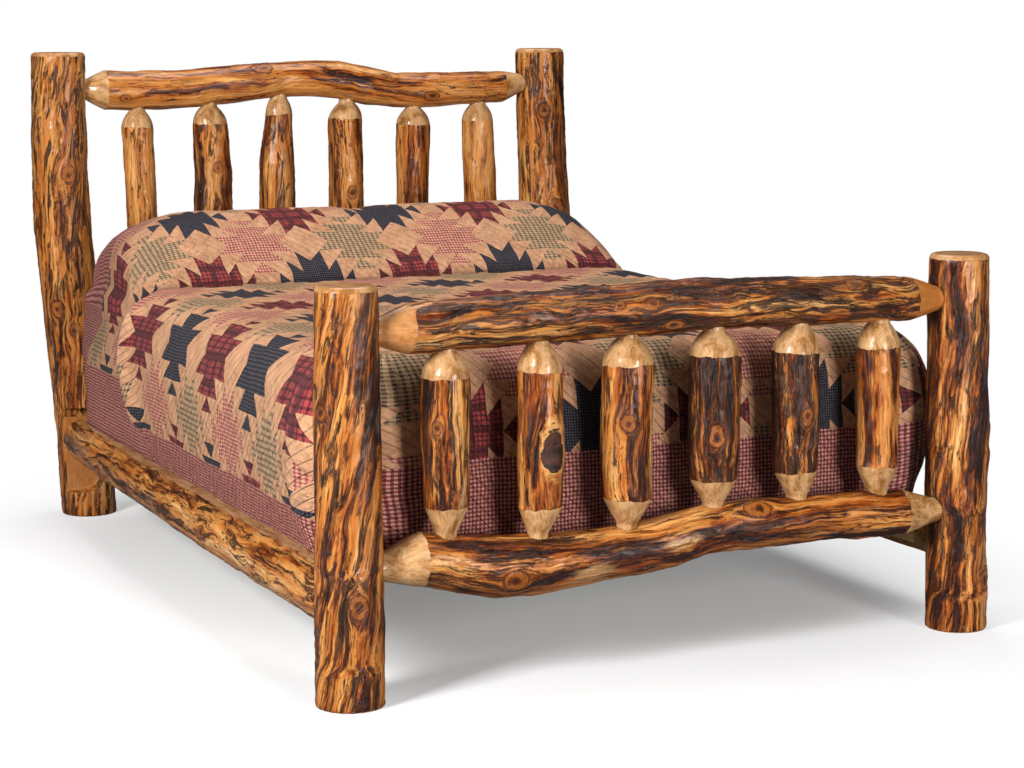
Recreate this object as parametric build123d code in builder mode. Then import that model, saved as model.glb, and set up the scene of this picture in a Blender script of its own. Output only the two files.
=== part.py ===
# Rustic log bed: peeled-log headboard and footboard, half-log side rails, slats, foundation, mattress,
# pillows and quilt.
# Millimetres. X runs across the bed, Y from foot to head, Z up. The origin is on the floor, in the
# middle of the four posts.

import os
from math import sqrt

from build123d import *

os.makedirs("parts", exist_ok=True)

# --- driving dimensions: posts ---
post_spacing_x = 1586.0        # post centre to post centre across the bed
post_spacing_y = 2300.0        # footboard centre to headboard centre
head_post_height = 1374.0
foot_post_height = 918.0
crown_radius = 13.0            # rounding worked round the top of each post
crown_height = 15.0            # straight collar that the rounding is cut in
post_section_count = 8         # spans between the sections that each post is lofted through

# --- driving dimensions: head and foot rails ---
head_top_rail_height = 1262.0
head_bottom_rail_height = 460.0
foot_top_rail_height = 812.0
foot_bottom_rail_height = 296.0
head_rail_point = 60.0         # length of the pointed ends of the head rails
foot_top_rail_point = 70.0
foot_bottom_rail_point = 92.0
rail_tenon_radius = 31.75      # 2 1/2 inch tenon cutter
rail_tenon_length = 58.0
rail_section_count = 14

# --- driving dimensions: spindles ---
spindle_pitch = 225.4
head_spindle_point = 50.0
foot_spindle_point = 58.0
spindle_tenon_radius = 25.4    # 2 inch tenon cutter
spindle_tenon_length = 34.0
spindle_section_count = 4

# --- driving dimensions: fits ---
mortise_clearance = 0.15       # radial play of a round tenon
mortise_spare_depth = 2.0
mortise_lead = 40.0            # how far outside a post's side its mortise is drilled from
shoulder_gap = 0.6             # between a point's shoulder and the log that it enters

# --- driving dimensions: side rails and their seats on the posts ---
rail_inner_x = 781.0           # flat sawn inner face of each side rail
rail_top = 289.0               # flat sawn top of each side rail
side_rail_axis_height = 227.0
side_rail_axis_x = 797.0
side_rail_section_count = 8
seat_depth = 42.0              # from a post's axis to the flat cut for the side rail
seat_top = 322.0
seat_bottom = 72.0
seat_scoop = 70.0              # rounding of the seat's lower corners
seat_width = 190.0

# --- driving dimensions: ledgers, slats and screws ---
ledger_size = 38.0
ledger_bottom = 190.0
ledger_end_gap = 60.0
slat_count = 7
slat_width = 89.0
slat_thickness = 19.0
slat_end_gap = 4.0             # between a slat and the side rail's inner face
slat_end_margin = 170.0        # from the foundation's end to the centre of the last slat
screw_head_radius = 4.6
screw_shank_radius = 2.3
screw_clearance = 0.1
ledger_screw_length = 62.0
slat_screw_length = 44.0
plate_screw_length = 30.0

# --- driving dimensions: bed-rail fasteners ---
plate_x = 797.0
plate_height = 84.0
plate_width = 16.0
plate_thickness = 2.6
plate_clearance = 0.15
plate_screw_offset = 34.0      # from the plate's middle to each screw
hook_offset = 13.0             # from the plate's middle to each hook's root
hook_root_height = 10.0
hook_nose_drop = 6.0
hook_reach = 9.0
hook_thickness = 3.0
hook_clearance = 0.3
pocket_depth = 14.0

# --- driving dimensions: bedding ---
mattress_width = 1524.0
mattress_length = 2032.0
bedding_centre_y = -12.0
mattress_thickness = 268.0
mattress_corner = 75.0
mattress_edge = 70.0
foundation_thickness = 205.0
foundation_corner = 80.0       # no tighter than the mattress's corners, so that the quilt hangs clear
foundation_edge = 12.0
pillow_width = 742.0
pillow_depth = 490.0
pillow_thickness = 184.0
pillow_base_edge = 30.0
pillow_gap = 8.0
pillow_head_margin = 10.0      # from the mattress's head end to the pillows
quilt_thickness = 9.0
quilt_clearance = 0.3
quilt_hem = 262.0              # height of the hem above the floor
quilt_head_margin = 25.0       # bare length of mattress side at the head end
quilt_hump_sink = 60.0         # how far the hump over the pillows is carried down into the drop

# --- forms of the logs ---
# Each station is a fraction of the log's length, two offsets of its axis and its radius there.
# Posts run upwards, offsets along X and Y.
head_post_left_form = [
    (0.00, 48, -60, 80), (0.22, 34, -46, 82), (0.45, 13, -24, 84),
    (0.62, -5, -6, 84), (0.78, -11, 0, 82), (1.00, -10, 0, 80),
]
head_post_right_form = [
    (0.00, 4, -60, 80), (0.22, 5, -46, 81), (0.45, 6, -24, 82), (0.62, 6, -6, 81.5),
    (0.73, 2, 0, 80), (0.85, -6, 0, 78.5), (1.00, -10, 0, 77.5),
]
foot_post_left_form = [(0.00, 3, 0, 76.5), (0.40, 1, 0, 75), (0.70, -1, 0, 72), (1.00, -2, 0, 69)]
foot_post_right_form = [
    (0.00, 6, 0, 74), (0.20, 4, 0, 74), (0.50, -1, 0, 74.5), (0.75, -1, 0, 74), (1.00, 0, 0, 72),
]
# Head and foot rails run from left to right, offsets along Y and Z.
head_top_rail_form = [
    (0.00, 0, -2, 59.5), (0.12, 3, -6, 58.5), (0.27, 5, 6, 58), (0.42, 3, 22, 54),
    (0.50, 0, 24, 56), (0.575, -2, 18, 60), (0.65, -4, -2, 60), (0.73, -4, -17, 55.5),
    (0.84, -2, -15, 53.5), (1.00, 0, -10, 49),
]
head_bottom_rail_form = [(0.00, 0, 0, 60), (0.30, 4, 6, 62), (0.65, -3, -5, 63), (1.00, 0, 2, 58)]
foot_top_rail_form = [
    (0.00, 0, 3, 55), (0.19, 2, 10, 58.5), (0.42, 4, 13, 60), (0.58, 3, 18, 60),
    (0.73, 0, 14, 58.5), (0.89, -2, 8, 55.5), (1.00, 0, 3, 51),
]
foot_bottom_rail_form = [
    (0.00, 0, 9, 61), (0.09, 2, -14, 67.5), (0.17, 3, -28, 72), (0.25, 4, -29, 67),
    (0.33, 4, -26, 61), (0.41, 2, -20, 59.5), (0.49, 0, -8, 63), (0.575, -2, 11, 58),
    (0.70, -3, 11.5, 58), (0.86, -2, 9, 56.5), (1.00, 0, 3, 56),
]
# Spindles run upwards, offsets along X and Y.
head_spindle_forms = [
    [(0, 10, 0, 47), (0.53, 12, 0, 44.5), (1, 0, 0, 48)],
    [(0, 8, 0, 56), (0.53, 12, 0, 58), (0.8, 11, 0, 57), (1, 4, 0, 52)],
    [(0, -2, 0, 52), (0.53, -6, 0, 56), (0.68, -9, 0, 57), (0.84, -3, 0, 49), (1, 1, 0, 42)],
    [(0, -2, 0, 55), (0.5, -3, 0, 54.5), (1, -5, 0, 53)],
    [(0, -2, 0, 49), (0.5, -3, 0, 51), (1, 0, 0, 53.5)],
    [(0, 6, 0, 50), (0.53, 9, 0, 52), (0.72, 6, 0, 53), (1, -2, 0, 50)],
]
foot_spindle_forms = [
    [(0, 2, 0, 49), (0.35, 1, 0, 53), (1, 0, 0, 54)],
    [(0, 6, 0, 50), (0.5, 5, 0, 51), (1, 5, 0, 51)],
    [(0, 2, 0, 57), (0.35, -4, 0, 60), (1, 2, 0, 59)],
    [(0, 0, 0, 57), (0.3, 0, 0, 60), (1, 4, 0, 60)],
    [(0, -4, 0, 52), (0.4, -4, 0, 56), (1, -6, 0, 56)],
    [(0, -1, 0, 50), (0.5, 0, 0, 50), (1, 0, 0, 51)],
]
# Side rails run from the foot to the head, offsets away from the bed and upwards.
side_rail_form = [
    (0.00, 0, 1, 66), (0.18, 0, -1, 66), (0.42, 0, 0, 65), (0.62, -2, 4, 62),
    (0.80, -10, 3, 62), (1.00, -26, 2, 60),
]
# A point's profile: share of its length, and share of the way from the log's radius to the tenon's.
sharp_profile = [(0.0, 0.0), (0.18, 0.12), (0.55, 0.50), (1.0, 1.0)]
blunt_profile = [(0.0, 0.0), (0.25, 0.07), (0.50, 0.26), (0.75, 0.56), (1.0, 1.0)]

# --- forms of the bedding ---
# A pillow upwards: share of its thickness, how far its ends, front and back are drawn in, corner radius.
pillow_form = [
    (0.0, 0, 0, 0, 120), (0.35, 5, 66, 4, 115), (0.6, 23, 112, 22, 105), (0.8, 52, 150, 50, 95),
    (0.93, 95, 185, 82, 85), (1.0, 160, 225, 120, 70),
]
# The quilt's drop upwards: share of the way from hem to mattress top, swell past the mattress's sides
# and foot.
quilt_drop_form = [
    (0.0, 3, 3), (0.2, 23, 11), (0.42, 45, 20), (0.62, 47, 20), (0.8, 37, 14), (0.9, 20, 5),
    (0.96, -2, -12), (1.0, -36, -42),
]


def form_at(form, t):
    """Two offsets and the radius at the fraction t, on a smooth curve through the form's stations."""
    last = len(form) - 1
    i = max(k for k in range(last) if form[k][0] <= t)
    before, start, end, after = form[max(i - 1, 0)], form[i], form[i + 1], form[min(i + 2, last)]
    span = end[0] - start[0]
    u = (t - start[0]) / span
    values = []
    for k in (1, 2, 3):
        slope_start = (end[k] - before[k]) / (end[0] - before[0]) * span
        slope_end = (after[k] - start[k]) / (after[0] - start[0]) * span
        rise = end[k] - start[k]
        values.append(
            start[k] + slope_start * u + (3 * rise - 2 * slope_start - slope_end) * u**2
            + (slope_start + slope_end - 2 * rise) * u**3
        )
    return values


class Post:
    """One post: its place, its form, and which way the middle of the bed lies."""

    def __init__(self, label, form, x, y, height, rail_heights):
        self.label, self.form, self.x, self.y, self.height = label, form, x, y, height
        self.rail_heights = rail_heights
        self.inward_x = -1 if x > 0 else 1
        self.inward_y = -1 if y > 0 else 1

    def section(self, z):
        """Centre and radius of the post at the height z."""
        dx, dy, radius = form_at(self.form, min(z / (self.height - crown_height), 1.0))
        return self.x + dx, self.y + dy, radius

    def face_x(self, z):
        """Where a rail's point, on the post's own line, clears the post's round side."""
        faces = []
        for height in (z - rail_tenon_radius, z, z + rail_tenon_radius):
            centre_x, centre_y, radius = self.section(height)
            beside = max(abs(centre_y - self.y) - rail_tenon_radius, 0.0)
            faces.append(self.inward_x * centre_x + sqrt(radius**2 - beside**2))
        return self.inward_x * max(faces)

    @property
    def seat_y(self):
        """The flat that the side rail butts against."""
        return self.section(side_rail_axis_height)[1] + self.inward_y * seat_depth


half_x, half_y = post_spacing_x / 2, post_spacing_y / 2
head_rail_heights = (head_top_rail_height, head_bottom_rail_height)
foot_rail_heights = (foot_top_rail_height, foot_bottom_rail_height)
head_left, head_right, foot_left, foot_right = (
    Post(label, form, side * half_x, end * half_y, height, rail_heights)
    for label, form, side, end, height, rail_heights in (
        ("head_post_left", head_post_left_form, -1, 1, head_post_height, head_rail_heights),
        ("head_post_right", head_post_right_form, 1, 1, head_post_height, head_rail_heights),
        ("foot_post_left", foot_post_left_form, -1, -1, foot_post_height, foot_rail_heights),
        ("foot_post_right", foot_post_right_form, 1, -1, foot_post_height, foot_rail_heights),
    )
)


def finish(part, label):
    """Label a finished piece and write its STEP file."""
    part.label = label
    export_step(part, f"parts/{label}.step")


# --- screws and bed-rail fasteners ---

def screw(plane, length):
    """A countersunk screw: its head lies in the plane and its shank runs against the plane's normal."""
    head_height = screw_head_radius - screw_shank_radius
    with BuildPart() as body:
        with BuildSketch(plane.offset(-length)):
            Circle(screw_shank_radius)
        extrude(amount=length - head_height)
        with BuildSketch(plane.offset(-head_height)):
            Circle(screw_shank_radius)
        with BuildSketch(plane):
            Circle(screw_head_radius)
        loft()
    return body.part


def screw_holes(plane, length):
    """The drilled and countersunk hole for one screw, as a solid to cut with."""
    head_height = screw_head_radius - screw_shank_radius
    with BuildPart() as body:
        with BuildSketch(plane.offset(-length - screw_clearance)):
            Circle(screw_shank_radius + screw_clearance)
        extrude(amount=length + screw_clearance)
        with BuildSketch(plane.offset(-head_height)):
            Circle(screw_shank_radius + screw_clearance)
        with BuildSketch(plane):
            Circle(screw_head_radius + screw_clearance)
        loft()
    return body.part


def fastener_plane(post):
    """Plane of a rail joint, in the middle of its plates, with its normal out of the post."""
    return Plane(
        origin=(-post.inward_x * plate_x, post.seat_y, side_rail_axis_height),
        x_dir=(-post.inward_y, 0, 0),
        z_dir=(0, post.inward_y, 0),
    )


def plate_screw_planes(post):
    """Planes of the screw heads: two in the post's plate, then two in the side rail's plate."""
    joint = fastener_plane(post)
    flipped = Plane(joint.origin, x_dir=joint.x_dir, z_dir=-joint.z_dir)
    heights = (-plate_screw_offset, plate_screw_offset)
    in_post = [Plane(joint.from_local_coords((0, h, 0)), joint.x_dir, joint.z_dir) for h in heights]
    in_rail = [Plane(joint.from_local_coords((0, h, 0)), joint.x_dir, flipped.z_dir) for h in heights]
    return in_post, in_rail


def make_slot_plate(post, label):
    """The half of the fastener that is let into the post, with two slots for the hooks."""
    joint = fastener_plane(post)
    slot_height = hook_root_height + 2 * hook_nose_drop + 2 * hook_clearance
    with BuildPart() as plate:
        with BuildSketch(joint.offset(-plate_thickness)):
            Rectangle(plate_width, plate_height)
            with Locations((0, hook_offset), (0, -hook_offset)):
                Rectangle(hook_thickness + 2 * hook_clearance, slot_height, mode=Mode.SUBTRACT)
        extrude(amount=plate_thickness)
        for plane in plate_screw_planes(post)[0]:
            add(screw_holes(plane, plate_screw_length), mode=Mode.SUBTRACT)
    finish(plate.part, label)


def make_hook_plate(post, label):
    """The half of the fastener that is let into the side rail's end, with two hooks that point down."""
    joint = fastener_plane(post)
    side = Plane(joint.origin, x_dir=-joint.z_dir, z_dir=joint.x_dir)
    behind = plate_thickness + hook_clearance
    with BuildPart() as plate:
        with BuildSketch(joint):
            Rectangle(plate_width, plate_height)
        extrude(amount=plate_thickness)
        for plane in plate_screw_planes(post)[1]:
            add(screw_holes(plane, plate_screw_length), mode=Mode.SUBTRACT)
        up = 1 if side.y_dir.Z > 0 else -1
        for middle in (hook_offset, -hook_offset):
            top, bottom = middle + hook_root_height / 2, middle - hook_root_height / 2
            nose = bottom - hook_nose_drop
            outline = [
                (0, top), (hook_reach, top), (hook_reach, nose), (behind, nose), (behind, bottom),
                (0, bottom),
            ]
            with BuildSketch(side):
                with BuildLine():
                    Polyline(*[(out, up * height) for out, height in outline], close=True)
                make_face()
            extrude(amount=hook_thickness / 2, both=True)
    finish(plate.part, label)


# --- logs ---

def round_log(
    section_plane, start, end, form, point, tenon_radius, tenon_length, sections, end_profile
):
    """A log between start and end, where it enters its mortises: a lofted body with pointed ends.

    section_plane(distance, offset_1, offset_2) is the plane across the log at that distance.
    """
    log_ends = (
        (start + point, start, -1, 0.0, sharp_profile), (end - point, end, 1, 1.0, end_profile)
    )
    body_start, body_end = start + point, end - point
    with BuildPart() as log:
        for step in range(sections + 1):
            t = step / sections
            offset_1, offset_2, radius = form_at(form, t)
            with BuildSketch(section_plane(body_start + t * (body_end - body_start), offset_1, offset_2)):
                Circle(radius)
        loft(ruled=True)
        for shoulder, tip, way, t, profile in log_ends:
            offset_1, offset_2, radius = form_at(form, t)
            for along, inwards in profile:
                place, stays = shoulder + way * along * point, 1 - along
                with BuildSketch(section_plane(place, stays * offset_1, stays * offset_2)):
                    Circle(radius + (tenon_radius - radius) * inwards)
            loft(ruled=True)
            with BuildSketch(section_plane(tip, 0, 0)):
                Circle(tenon_radius)
            extrude(amount=way * tenon_length)
    return log.part


def make_post(post):
    """A post with its crown, the mortises of its two rails and the seat of its side rail."""
    body_height = post.height - crown_height
    top_x, top_y, top_radius = post.section(body_height)
    reach = rail_tenon_length + mortise_spare_depth
    with BuildPart() as body:
        for step in range(post_section_count + 1):
            z = body_height * step / post_section_count
            x, y, radius = post.section(z)
            with BuildSketch(Plane(origin=(x, y, z))):
                Circle(radius)
        loft(ruled=True)
        with BuildSketch(Plane(origin=(top_x, top_y, body_height))):
            Circle(top_radius)
        extrude(amount=crown_height)
        fillet(body.edges().group_by(Axis.Z)[-1], radius=crown_radius)
        for z in post.rail_heights:
            mouth = Plane(origin=(post.face_x(z), post.y, z), z_dir=(post.inward_x, 0, 0))
            with Locations(mouth.offset(mortise_lead)):
                Hole(rail_tenon_radius + mortise_clearance, depth=reach + mortise_lead)
        joint = fastener_plane(post)
        seat_plane = Plane((top_x, post.seat_y, (seat_top + seat_bottom) / 2), joint.x_dir, joint.z_dir)
        with BuildSketch(seat_plane) as seat:
            Rectangle(seat_width, seat_top - seat_bottom)
            fillet(seat.vertices().group_by(Axis.Y)[0], radius=seat_scoop)
        extrude(amount=top_radius, mode=Mode.SUBTRACT)
        with BuildSketch(joint):
            Rectangle(plate_width + 2 * plate_clearance, plate_height + 2 * plate_clearance)
        extrude(amount=-plate_thickness, mode=Mode.SUBTRACT)
        with BuildSketch(joint):
            Rectangle(hook_thickness + 4 * hook_clearance, 2 * (plate_screw_offset - screw_head_radius))
        extrude(amount=-pocket_depth, mode=Mode.SUBTRACT)
        for plane in plate_screw_planes(post)[0]:
            add(screw_holes(plane, plate_screw_length), mode=Mode.SUBTRACT)
    finish(body.part, post.label)


class CrossRail:
    """A head or foot rail between two posts."""

    def __init__(self, label, form, left, right, height, point):
        self.label, self.form, self.height, self.point, self.y = label, form, height, point, left.y
        self.start = left.face_x(height) + shoulder_gap
        self.end = right.face_x(height) - shoulder_gap

    def section(self, x):
        """Height of the rail's centre and its radius at x."""
        body_start, body_end = self.start + self.point, self.end - self.point
        t = (x - body_start) / (body_end - body_start)
        dy, dz, radius = form_at(self.form, min(max(t, 0.0), 1.0))
        return self.height + dz, radius

    def spindle_face(self, x, way):
        """Height at which a spindle at x meets the rail's upper (way 1) or lower (way -1) side."""
        heights = []
        for near in (x - spindle_tenon_radius, x, x + spindle_tenon_radius):
            centre, radius = self.section(near)
            heights.append(way * (centre + way * radius))
        return way * (max(heights) + shoulder_gap)

    def make(self, spindle_sides):
        """The rail, drilled on the given sides (1 up, -1 down) for its spindles."""
        with BuildPart() as rail:
            add(round_log(
                lambda x, dy, dz: Plane((x, self.y + dy, self.height + dz), (0, 1, 0), (1, 0, 0)),
                self.start, self.end, self.form, self.point,
                rail_tenon_radius, rail_tenon_length, rail_section_count, sharp_profile,
            ))
            for way in spindle_sides:
                for x in spindle_places:
                    face = self.spindle_face(x, way)
                    with Locations(Plane(origin=(x, self.y, face), z_dir=(0, 0, way))):
                        Hole(
                            spindle_tenon_radius + mortise_clearance,
                            depth=spindle_tenon_length + mortise_spare_depth,
                        )
        finish(rail.part, self.label)


spindle_places = [(k - 2.5) * spindle_pitch for k in range(6)]
head_top = CrossRail(
    "head_top_rail", head_top_rail_form, head_left, head_right, head_top_rail_height, head_rail_point
)
head_bottom = CrossRail(
    "head_bottom_rail", head_bottom_rail_form, head_left, head_right, head_bottom_rail_height,
    head_rail_point,
)
foot_top = CrossRail(
    "foot_top_rail", foot_top_rail_form, foot_left, foot_right, foot_top_rail_height, foot_top_rail_point
)
foot_bottom = CrossRail(
    "foot_bottom_rail", foot_bottom_rail_form, foot_left, foot_right, foot_bottom_rail_height,
    foot_bottom_rail_point,
)


def make_spindles(prefix, forms, lower, upper, point):
    """The six spindles between a lower and an upper rail."""
    for number, (x, form) in enumerate(zip(spindle_places, forms), start=1):
        with BuildPart() as spindle:
            add(round_log(
                lambda z, dx, dy: Plane(origin=(x + dx, lower.y + dy, z)),
                lower.spindle_face(x, 1), upper.spindle_face(x, -1), form, point,
                spindle_tenon_radius, spindle_tenon_length, spindle_section_count, blunt_profile,
            ))
        finish(spindle.part, f"{prefix}_spindle_{number}")


# --- side rails, ledgers and slats ---

slat_bottom = ledger_bottom + ledger_size
foundation_bottom = slat_bottom + slat_thickness
ledger_x = rail_inner_x - ledger_size / 2
rail_foot_y, rail_head_y = foot_left.seat_y, head_left.seat_y
ledger_length = rail_head_y - rail_foot_y - 2 * ledger_end_gap
ledger_middle_y = (rail_head_y + rail_foot_y) / 2
slat_span = mattress_length - 2 * slat_end_margin
slat_places = [bedding_centre_y + (k / (slat_count - 1) - 0.5) * slat_span for k in range(slat_count)]
ledger_screw_places = [(near + far) / 2 for near, far in zip(slat_places, slat_places[1:])]


def ledger_screw_planes(side):
    """Screw heads on a ledger's inner face; side is -1 on the left and 1 on the right."""
    height = ledger_bottom + ledger_size / 2
    return [
        Plane((side * (rail_inner_x - ledger_size), y, height), x_dir=(0, 1, 0), z_dir=(-side, 0, 0))
        for y in ledger_screw_places
    ]


def slat_screw_planes(y):
    """Screw heads on top of a slat, over the middle of each ledger."""
    return [Plane(origin=(side * ledger_x, y, foundation_bottom)) for side in (-1, 1)]


def make_side_rail(side, label, foot_post, head_post):
    """A log sawn flat inside and on top, square at its ends where it butts against the posts."""
    length = rail_head_y - rail_foot_y
    with BuildPart() as rail:
        for step in range(side_rail_section_count + 1):
            t = step / side_rail_section_count
            out, up, radius = form_at(side_rail_form, t)
            centre_x, centre_z = side * (side_rail_axis_x + out), side_rail_axis_height + up
            with BuildSketch(Plane((centre_x, rail_foot_y + t * length, centre_z), (1, 0, 0), (0, 1, 0))):
                Circle(radius)
        loft(ruled=True)
        split(bisect_by=Plane((side * rail_inner_x, 0, 0), z_dir=(side, 0, 0)), keep=Keep.TOP)
        split(bisect_by=Plane.XY.offset(rail_top), keep=Keep.BOTTOM)
        for post in (foot_post, head_post):
            with BuildSketch(fastener_plane(post)):
                Rectangle(plate_width + 2 * plate_clearance, plate_height + 2 * plate_clearance)
            extrude(amount=plate_thickness, mode=Mode.SUBTRACT)
            for plane in plate_screw_planes(post)[1]:
                add(screw_holes(plane, plate_screw_length), mode=Mode.SUBTRACT)
        for plane in ledger_screw_planes(side):
            add(screw_holes(plane, ledger_screw_length), mode=Mode.SUBTRACT)
    finish(rail.part, label)


def make_ledger(side, label):
    """A square strip along the side rail that carries the slats."""
    with BuildPart() as ledger:
        with BuildSketch(Plane.XY.offset(ledger_bottom)):
            with Locations((side * ledger_x, ledger_middle_y)):
                Rectangle(ledger_size, ledger_length)
        extrude(amount=ledger_size)
        for plane in ledger_screw_planes(side):
            add(screw_holes(plane, ledger_screw_length), mode=Mode.SUBTRACT)
        for y in slat_places:
            for plane in slat_screw_planes(y):
                add(screw_holes(plane, slat_screw_length), mode=Mode.SUBTRACT)
    finish(ledger.part, label)


def make_slat(y, label):
    """A sawn board across the bed."""
    with BuildPart() as slat:
        with BuildSketch(Plane.XY.offset(slat_bottom)):
            with Locations((0, y)):
                Rectangle(2 * (rail_inner_x - slat_end_gap), slat_width)
        extrude(amount=slat_thickness)
        for plane in slat_screw_planes(y):
            add(screw_holes(plane, slat_screw_length), mode=Mode.SUBTRACT)
    finish(slat.part, label)


def make_screw_group(planes, length, label):
    """All the screws of one kind, as separate solids."""
    screws = Compound(children=[screw(plane, length) for plane in planes])
    finish(screws, label)


# --- bedding ---

mattress_bottom = foundation_bottom + foundation_thickness
mattress_top = mattress_bottom + mattress_thickness
mattress_head_y = bedding_centre_y + mattress_length / 2
pillow_y = mattress_head_y - pillow_head_margin - pillow_depth / 2


def make_foundation():
    """The upholstered box under the mattress."""
    with BuildPart() as foundation:
        with BuildSketch(Plane.XY.offset(foundation_bottom)):
            with Locations((0, bedding_centre_y)):
                RectangleRounded(mattress_width, mattress_length, foundation_corner)
        extrude(amount=foundation_thickness)
        ends = foundation.faces().filter_by(Axis.Z).edges()
        fillet(ends, radius=foundation_edge)
    finish(foundation.part, "foundation")


def make_mattress():
    """The mattress, with soft corners and a rounder top edge."""
    with BuildPart() as mattress:
        with BuildSketch(Plane.XY.offset(mattress_bottom)):
            with Locations((0, bedding_centre_y)):
                RectangleRounded(mattress_width, mattress_length, mattress_corner)
        extrude(amount=mattress_thickness)
        fillet(mattress.faces().sort_by(Axis.Z)[-1].edges(), radius=mattress_edge)
        fillet(mattress.faces().sort_by(Axis.Z)[0].edges(), radius=mattress_edge / 2)
    finish(mattress.part, "mattress")


def pillow_shape(centre_x, width, grow):
    """One pillow, or two side by side, drawn in towards the crown and grown by an even amount."""
    with BuildPart() as shape:
        for share, ends, front, back, corner in pillow_form:
            with BuildSketch(Plane.XY.offset(mattress_top + share * (pillow_thickness + grow))):
                with Locations((centre_x, pillow_y + (front - back) / 2)):
                    RectangleRounded(
                        width - 2 * ends + 2 * grow, pillow_depth - front - back + 2 * grow, corner + grow
                    )
        loft(ruled=True)
    return shape.part


def make_pillow(side, label):
    """A standard pillow, pressed into a wedge by the quilt."""
    with BuildPart() as pillow:
        add(pillow_shape(side * (pillow_width + pillow_gap) / 2, pillow_width, grow=0))
        fillet(pillow.faces().sort_by(Axis.Z)[0].edges(), radius=pillow_base_edge)
    finish(pillow.part, label)


def bedding_form(grow, bottom):
    """The outer shape of the bedding under the quilt, with the drop's swell, grown by an even amount."""
    drop = mattress_top - quilt_hem
    with BuildPart() as form:
        for share, side_swell, foot_swell in quilt_drop_form:
            z = bottom if share == 0 else quilt_hem + share * drop
            z += grow if share == 1 else 0
            with BuildSketch(Plane.XY.offset(z)):
                with Locations((0, bedding_centre_y)):
                    RectangleRounded(
                        mattress_width + 2 * (side_swell + grow), mattress_length + 2 * (foot_swell + grow),
                        mattress_corner + foot_swell + grow,
                    )
        loft(ruled=True)
        hump = pillow_shape(0, 2 * pillow_width + pillow_gap, grow)
        add(hump)
        extrude(hump.faces().sort_by(Axis.Z)[0], amount=quilt_hump_sink)
    return form.part


def make_quilt():
    """The quilt: over the pillows, and down the sides and the foot of the mattress."""
    with BuildPart() as quilt:
        add(bedding_form(quilt_clearance + quilt_thickness, quilt_hem))
        add(bedding_form(quilt_clearance, quilt_hem - 1), mode=Mode.SUBTRACT)
        with BuildSketch(Plane.XY.offset(quilt_hem)):
            with Locations((0, mattress_head_y + mattress_corner)):
                Rectangle(2 * post_spacing_x, 2 * (mattress_corner + quilt_head_margin))
        extrude(amount=mattress_top - quilt_hem, mode=Mode.SUBTRACT)
    finish(quilt.part, "quilt")


# --- build everything ---

corners = {
    "foot_left": foot_left, "foot_right": foot_right, "head_left": head_left, "head_right": head_right,
}
for corner, post in corners.items():
    make_post(post)
    make_slot_plate(post, f"slot_plate_{corner}")
    make_hook_plate(post, f"hook_plate_{corner}")

head_top.make(spindle_sides=(-1,))
head_bottom.make(spindle_sides=(1,))
foot_top.make(spindle_sides=(-1,))
foot_bottom.make(spindle_sides=(1,))
make_spindles("head", head_spindle_forms, head_bottom, head_top, head_spindle_point)
make_spindles("foot", foot_spindle_forms, foot_bottom, foot_top, foot_spindle_point)

make_side_rail(-1, "side_rail_left", foot_left, head_left)
make_side_rail(1, "side_rail_right", foot_right, head_right)
make_ledger(-1, "ledger_left")
make_ledger(1, "ledger_right")
for number, y in enumerate(slat_places, start=1):
    make_slat(y, f"slat_{number}")

plate_planes = [plane for post in corners.values() for half in plate_screw_planes(post) for plane in half]
make_screw_group(plate_planes, plate_screw_length, "plate_screws")
make_screw_group(ledger_screw_planes(-1) + ledger_screw_planes(1), ledger_screw_length, "ledger_screws")
slat_planes = [plane for y in slat_places for plane in slat_screw_planes(y)]
make_screw_group(slat_planes, slat_screw_length, "slat_screws")

make_foundation()
make_mattress()
make_pillow(-1, "pillow_left")
make_pillow(1, "pillow_right")
make_quilt()
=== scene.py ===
# Rustic peeled-log bed: the looks of each log, board, plate and piece of bedding, built over the fixed frame.
import math
from functools import partial
from types import SimpleNamespace

import bpy
import bmesh
import numpy as np
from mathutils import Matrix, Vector


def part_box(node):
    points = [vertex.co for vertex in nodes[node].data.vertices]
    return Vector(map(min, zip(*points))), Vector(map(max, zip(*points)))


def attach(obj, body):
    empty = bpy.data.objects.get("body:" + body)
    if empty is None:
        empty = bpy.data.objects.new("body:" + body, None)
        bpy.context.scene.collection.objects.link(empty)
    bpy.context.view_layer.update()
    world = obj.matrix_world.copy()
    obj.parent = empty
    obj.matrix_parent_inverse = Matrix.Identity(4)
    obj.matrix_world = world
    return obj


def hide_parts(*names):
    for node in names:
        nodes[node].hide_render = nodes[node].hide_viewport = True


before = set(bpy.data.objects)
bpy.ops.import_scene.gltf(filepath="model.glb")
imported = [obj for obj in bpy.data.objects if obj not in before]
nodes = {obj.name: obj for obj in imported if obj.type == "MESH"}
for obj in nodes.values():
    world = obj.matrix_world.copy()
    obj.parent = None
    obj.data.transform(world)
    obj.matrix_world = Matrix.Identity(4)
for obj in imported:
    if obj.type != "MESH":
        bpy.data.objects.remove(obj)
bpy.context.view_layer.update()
print("frame loaded:", len(nodes), "nodes")


def linearColour(hexColour):  # sRGB hex to the linear colour that a shader takes
    parts = [int(hexColour[i:i + 2], 16) / 255 for i in (0, 2, 4)]
    return tuple(c / 12.92 if c <= 0.04045 else ((c + 0.055) / 1.055) ** 2.4 for c in parts) + (1.0,)


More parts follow.
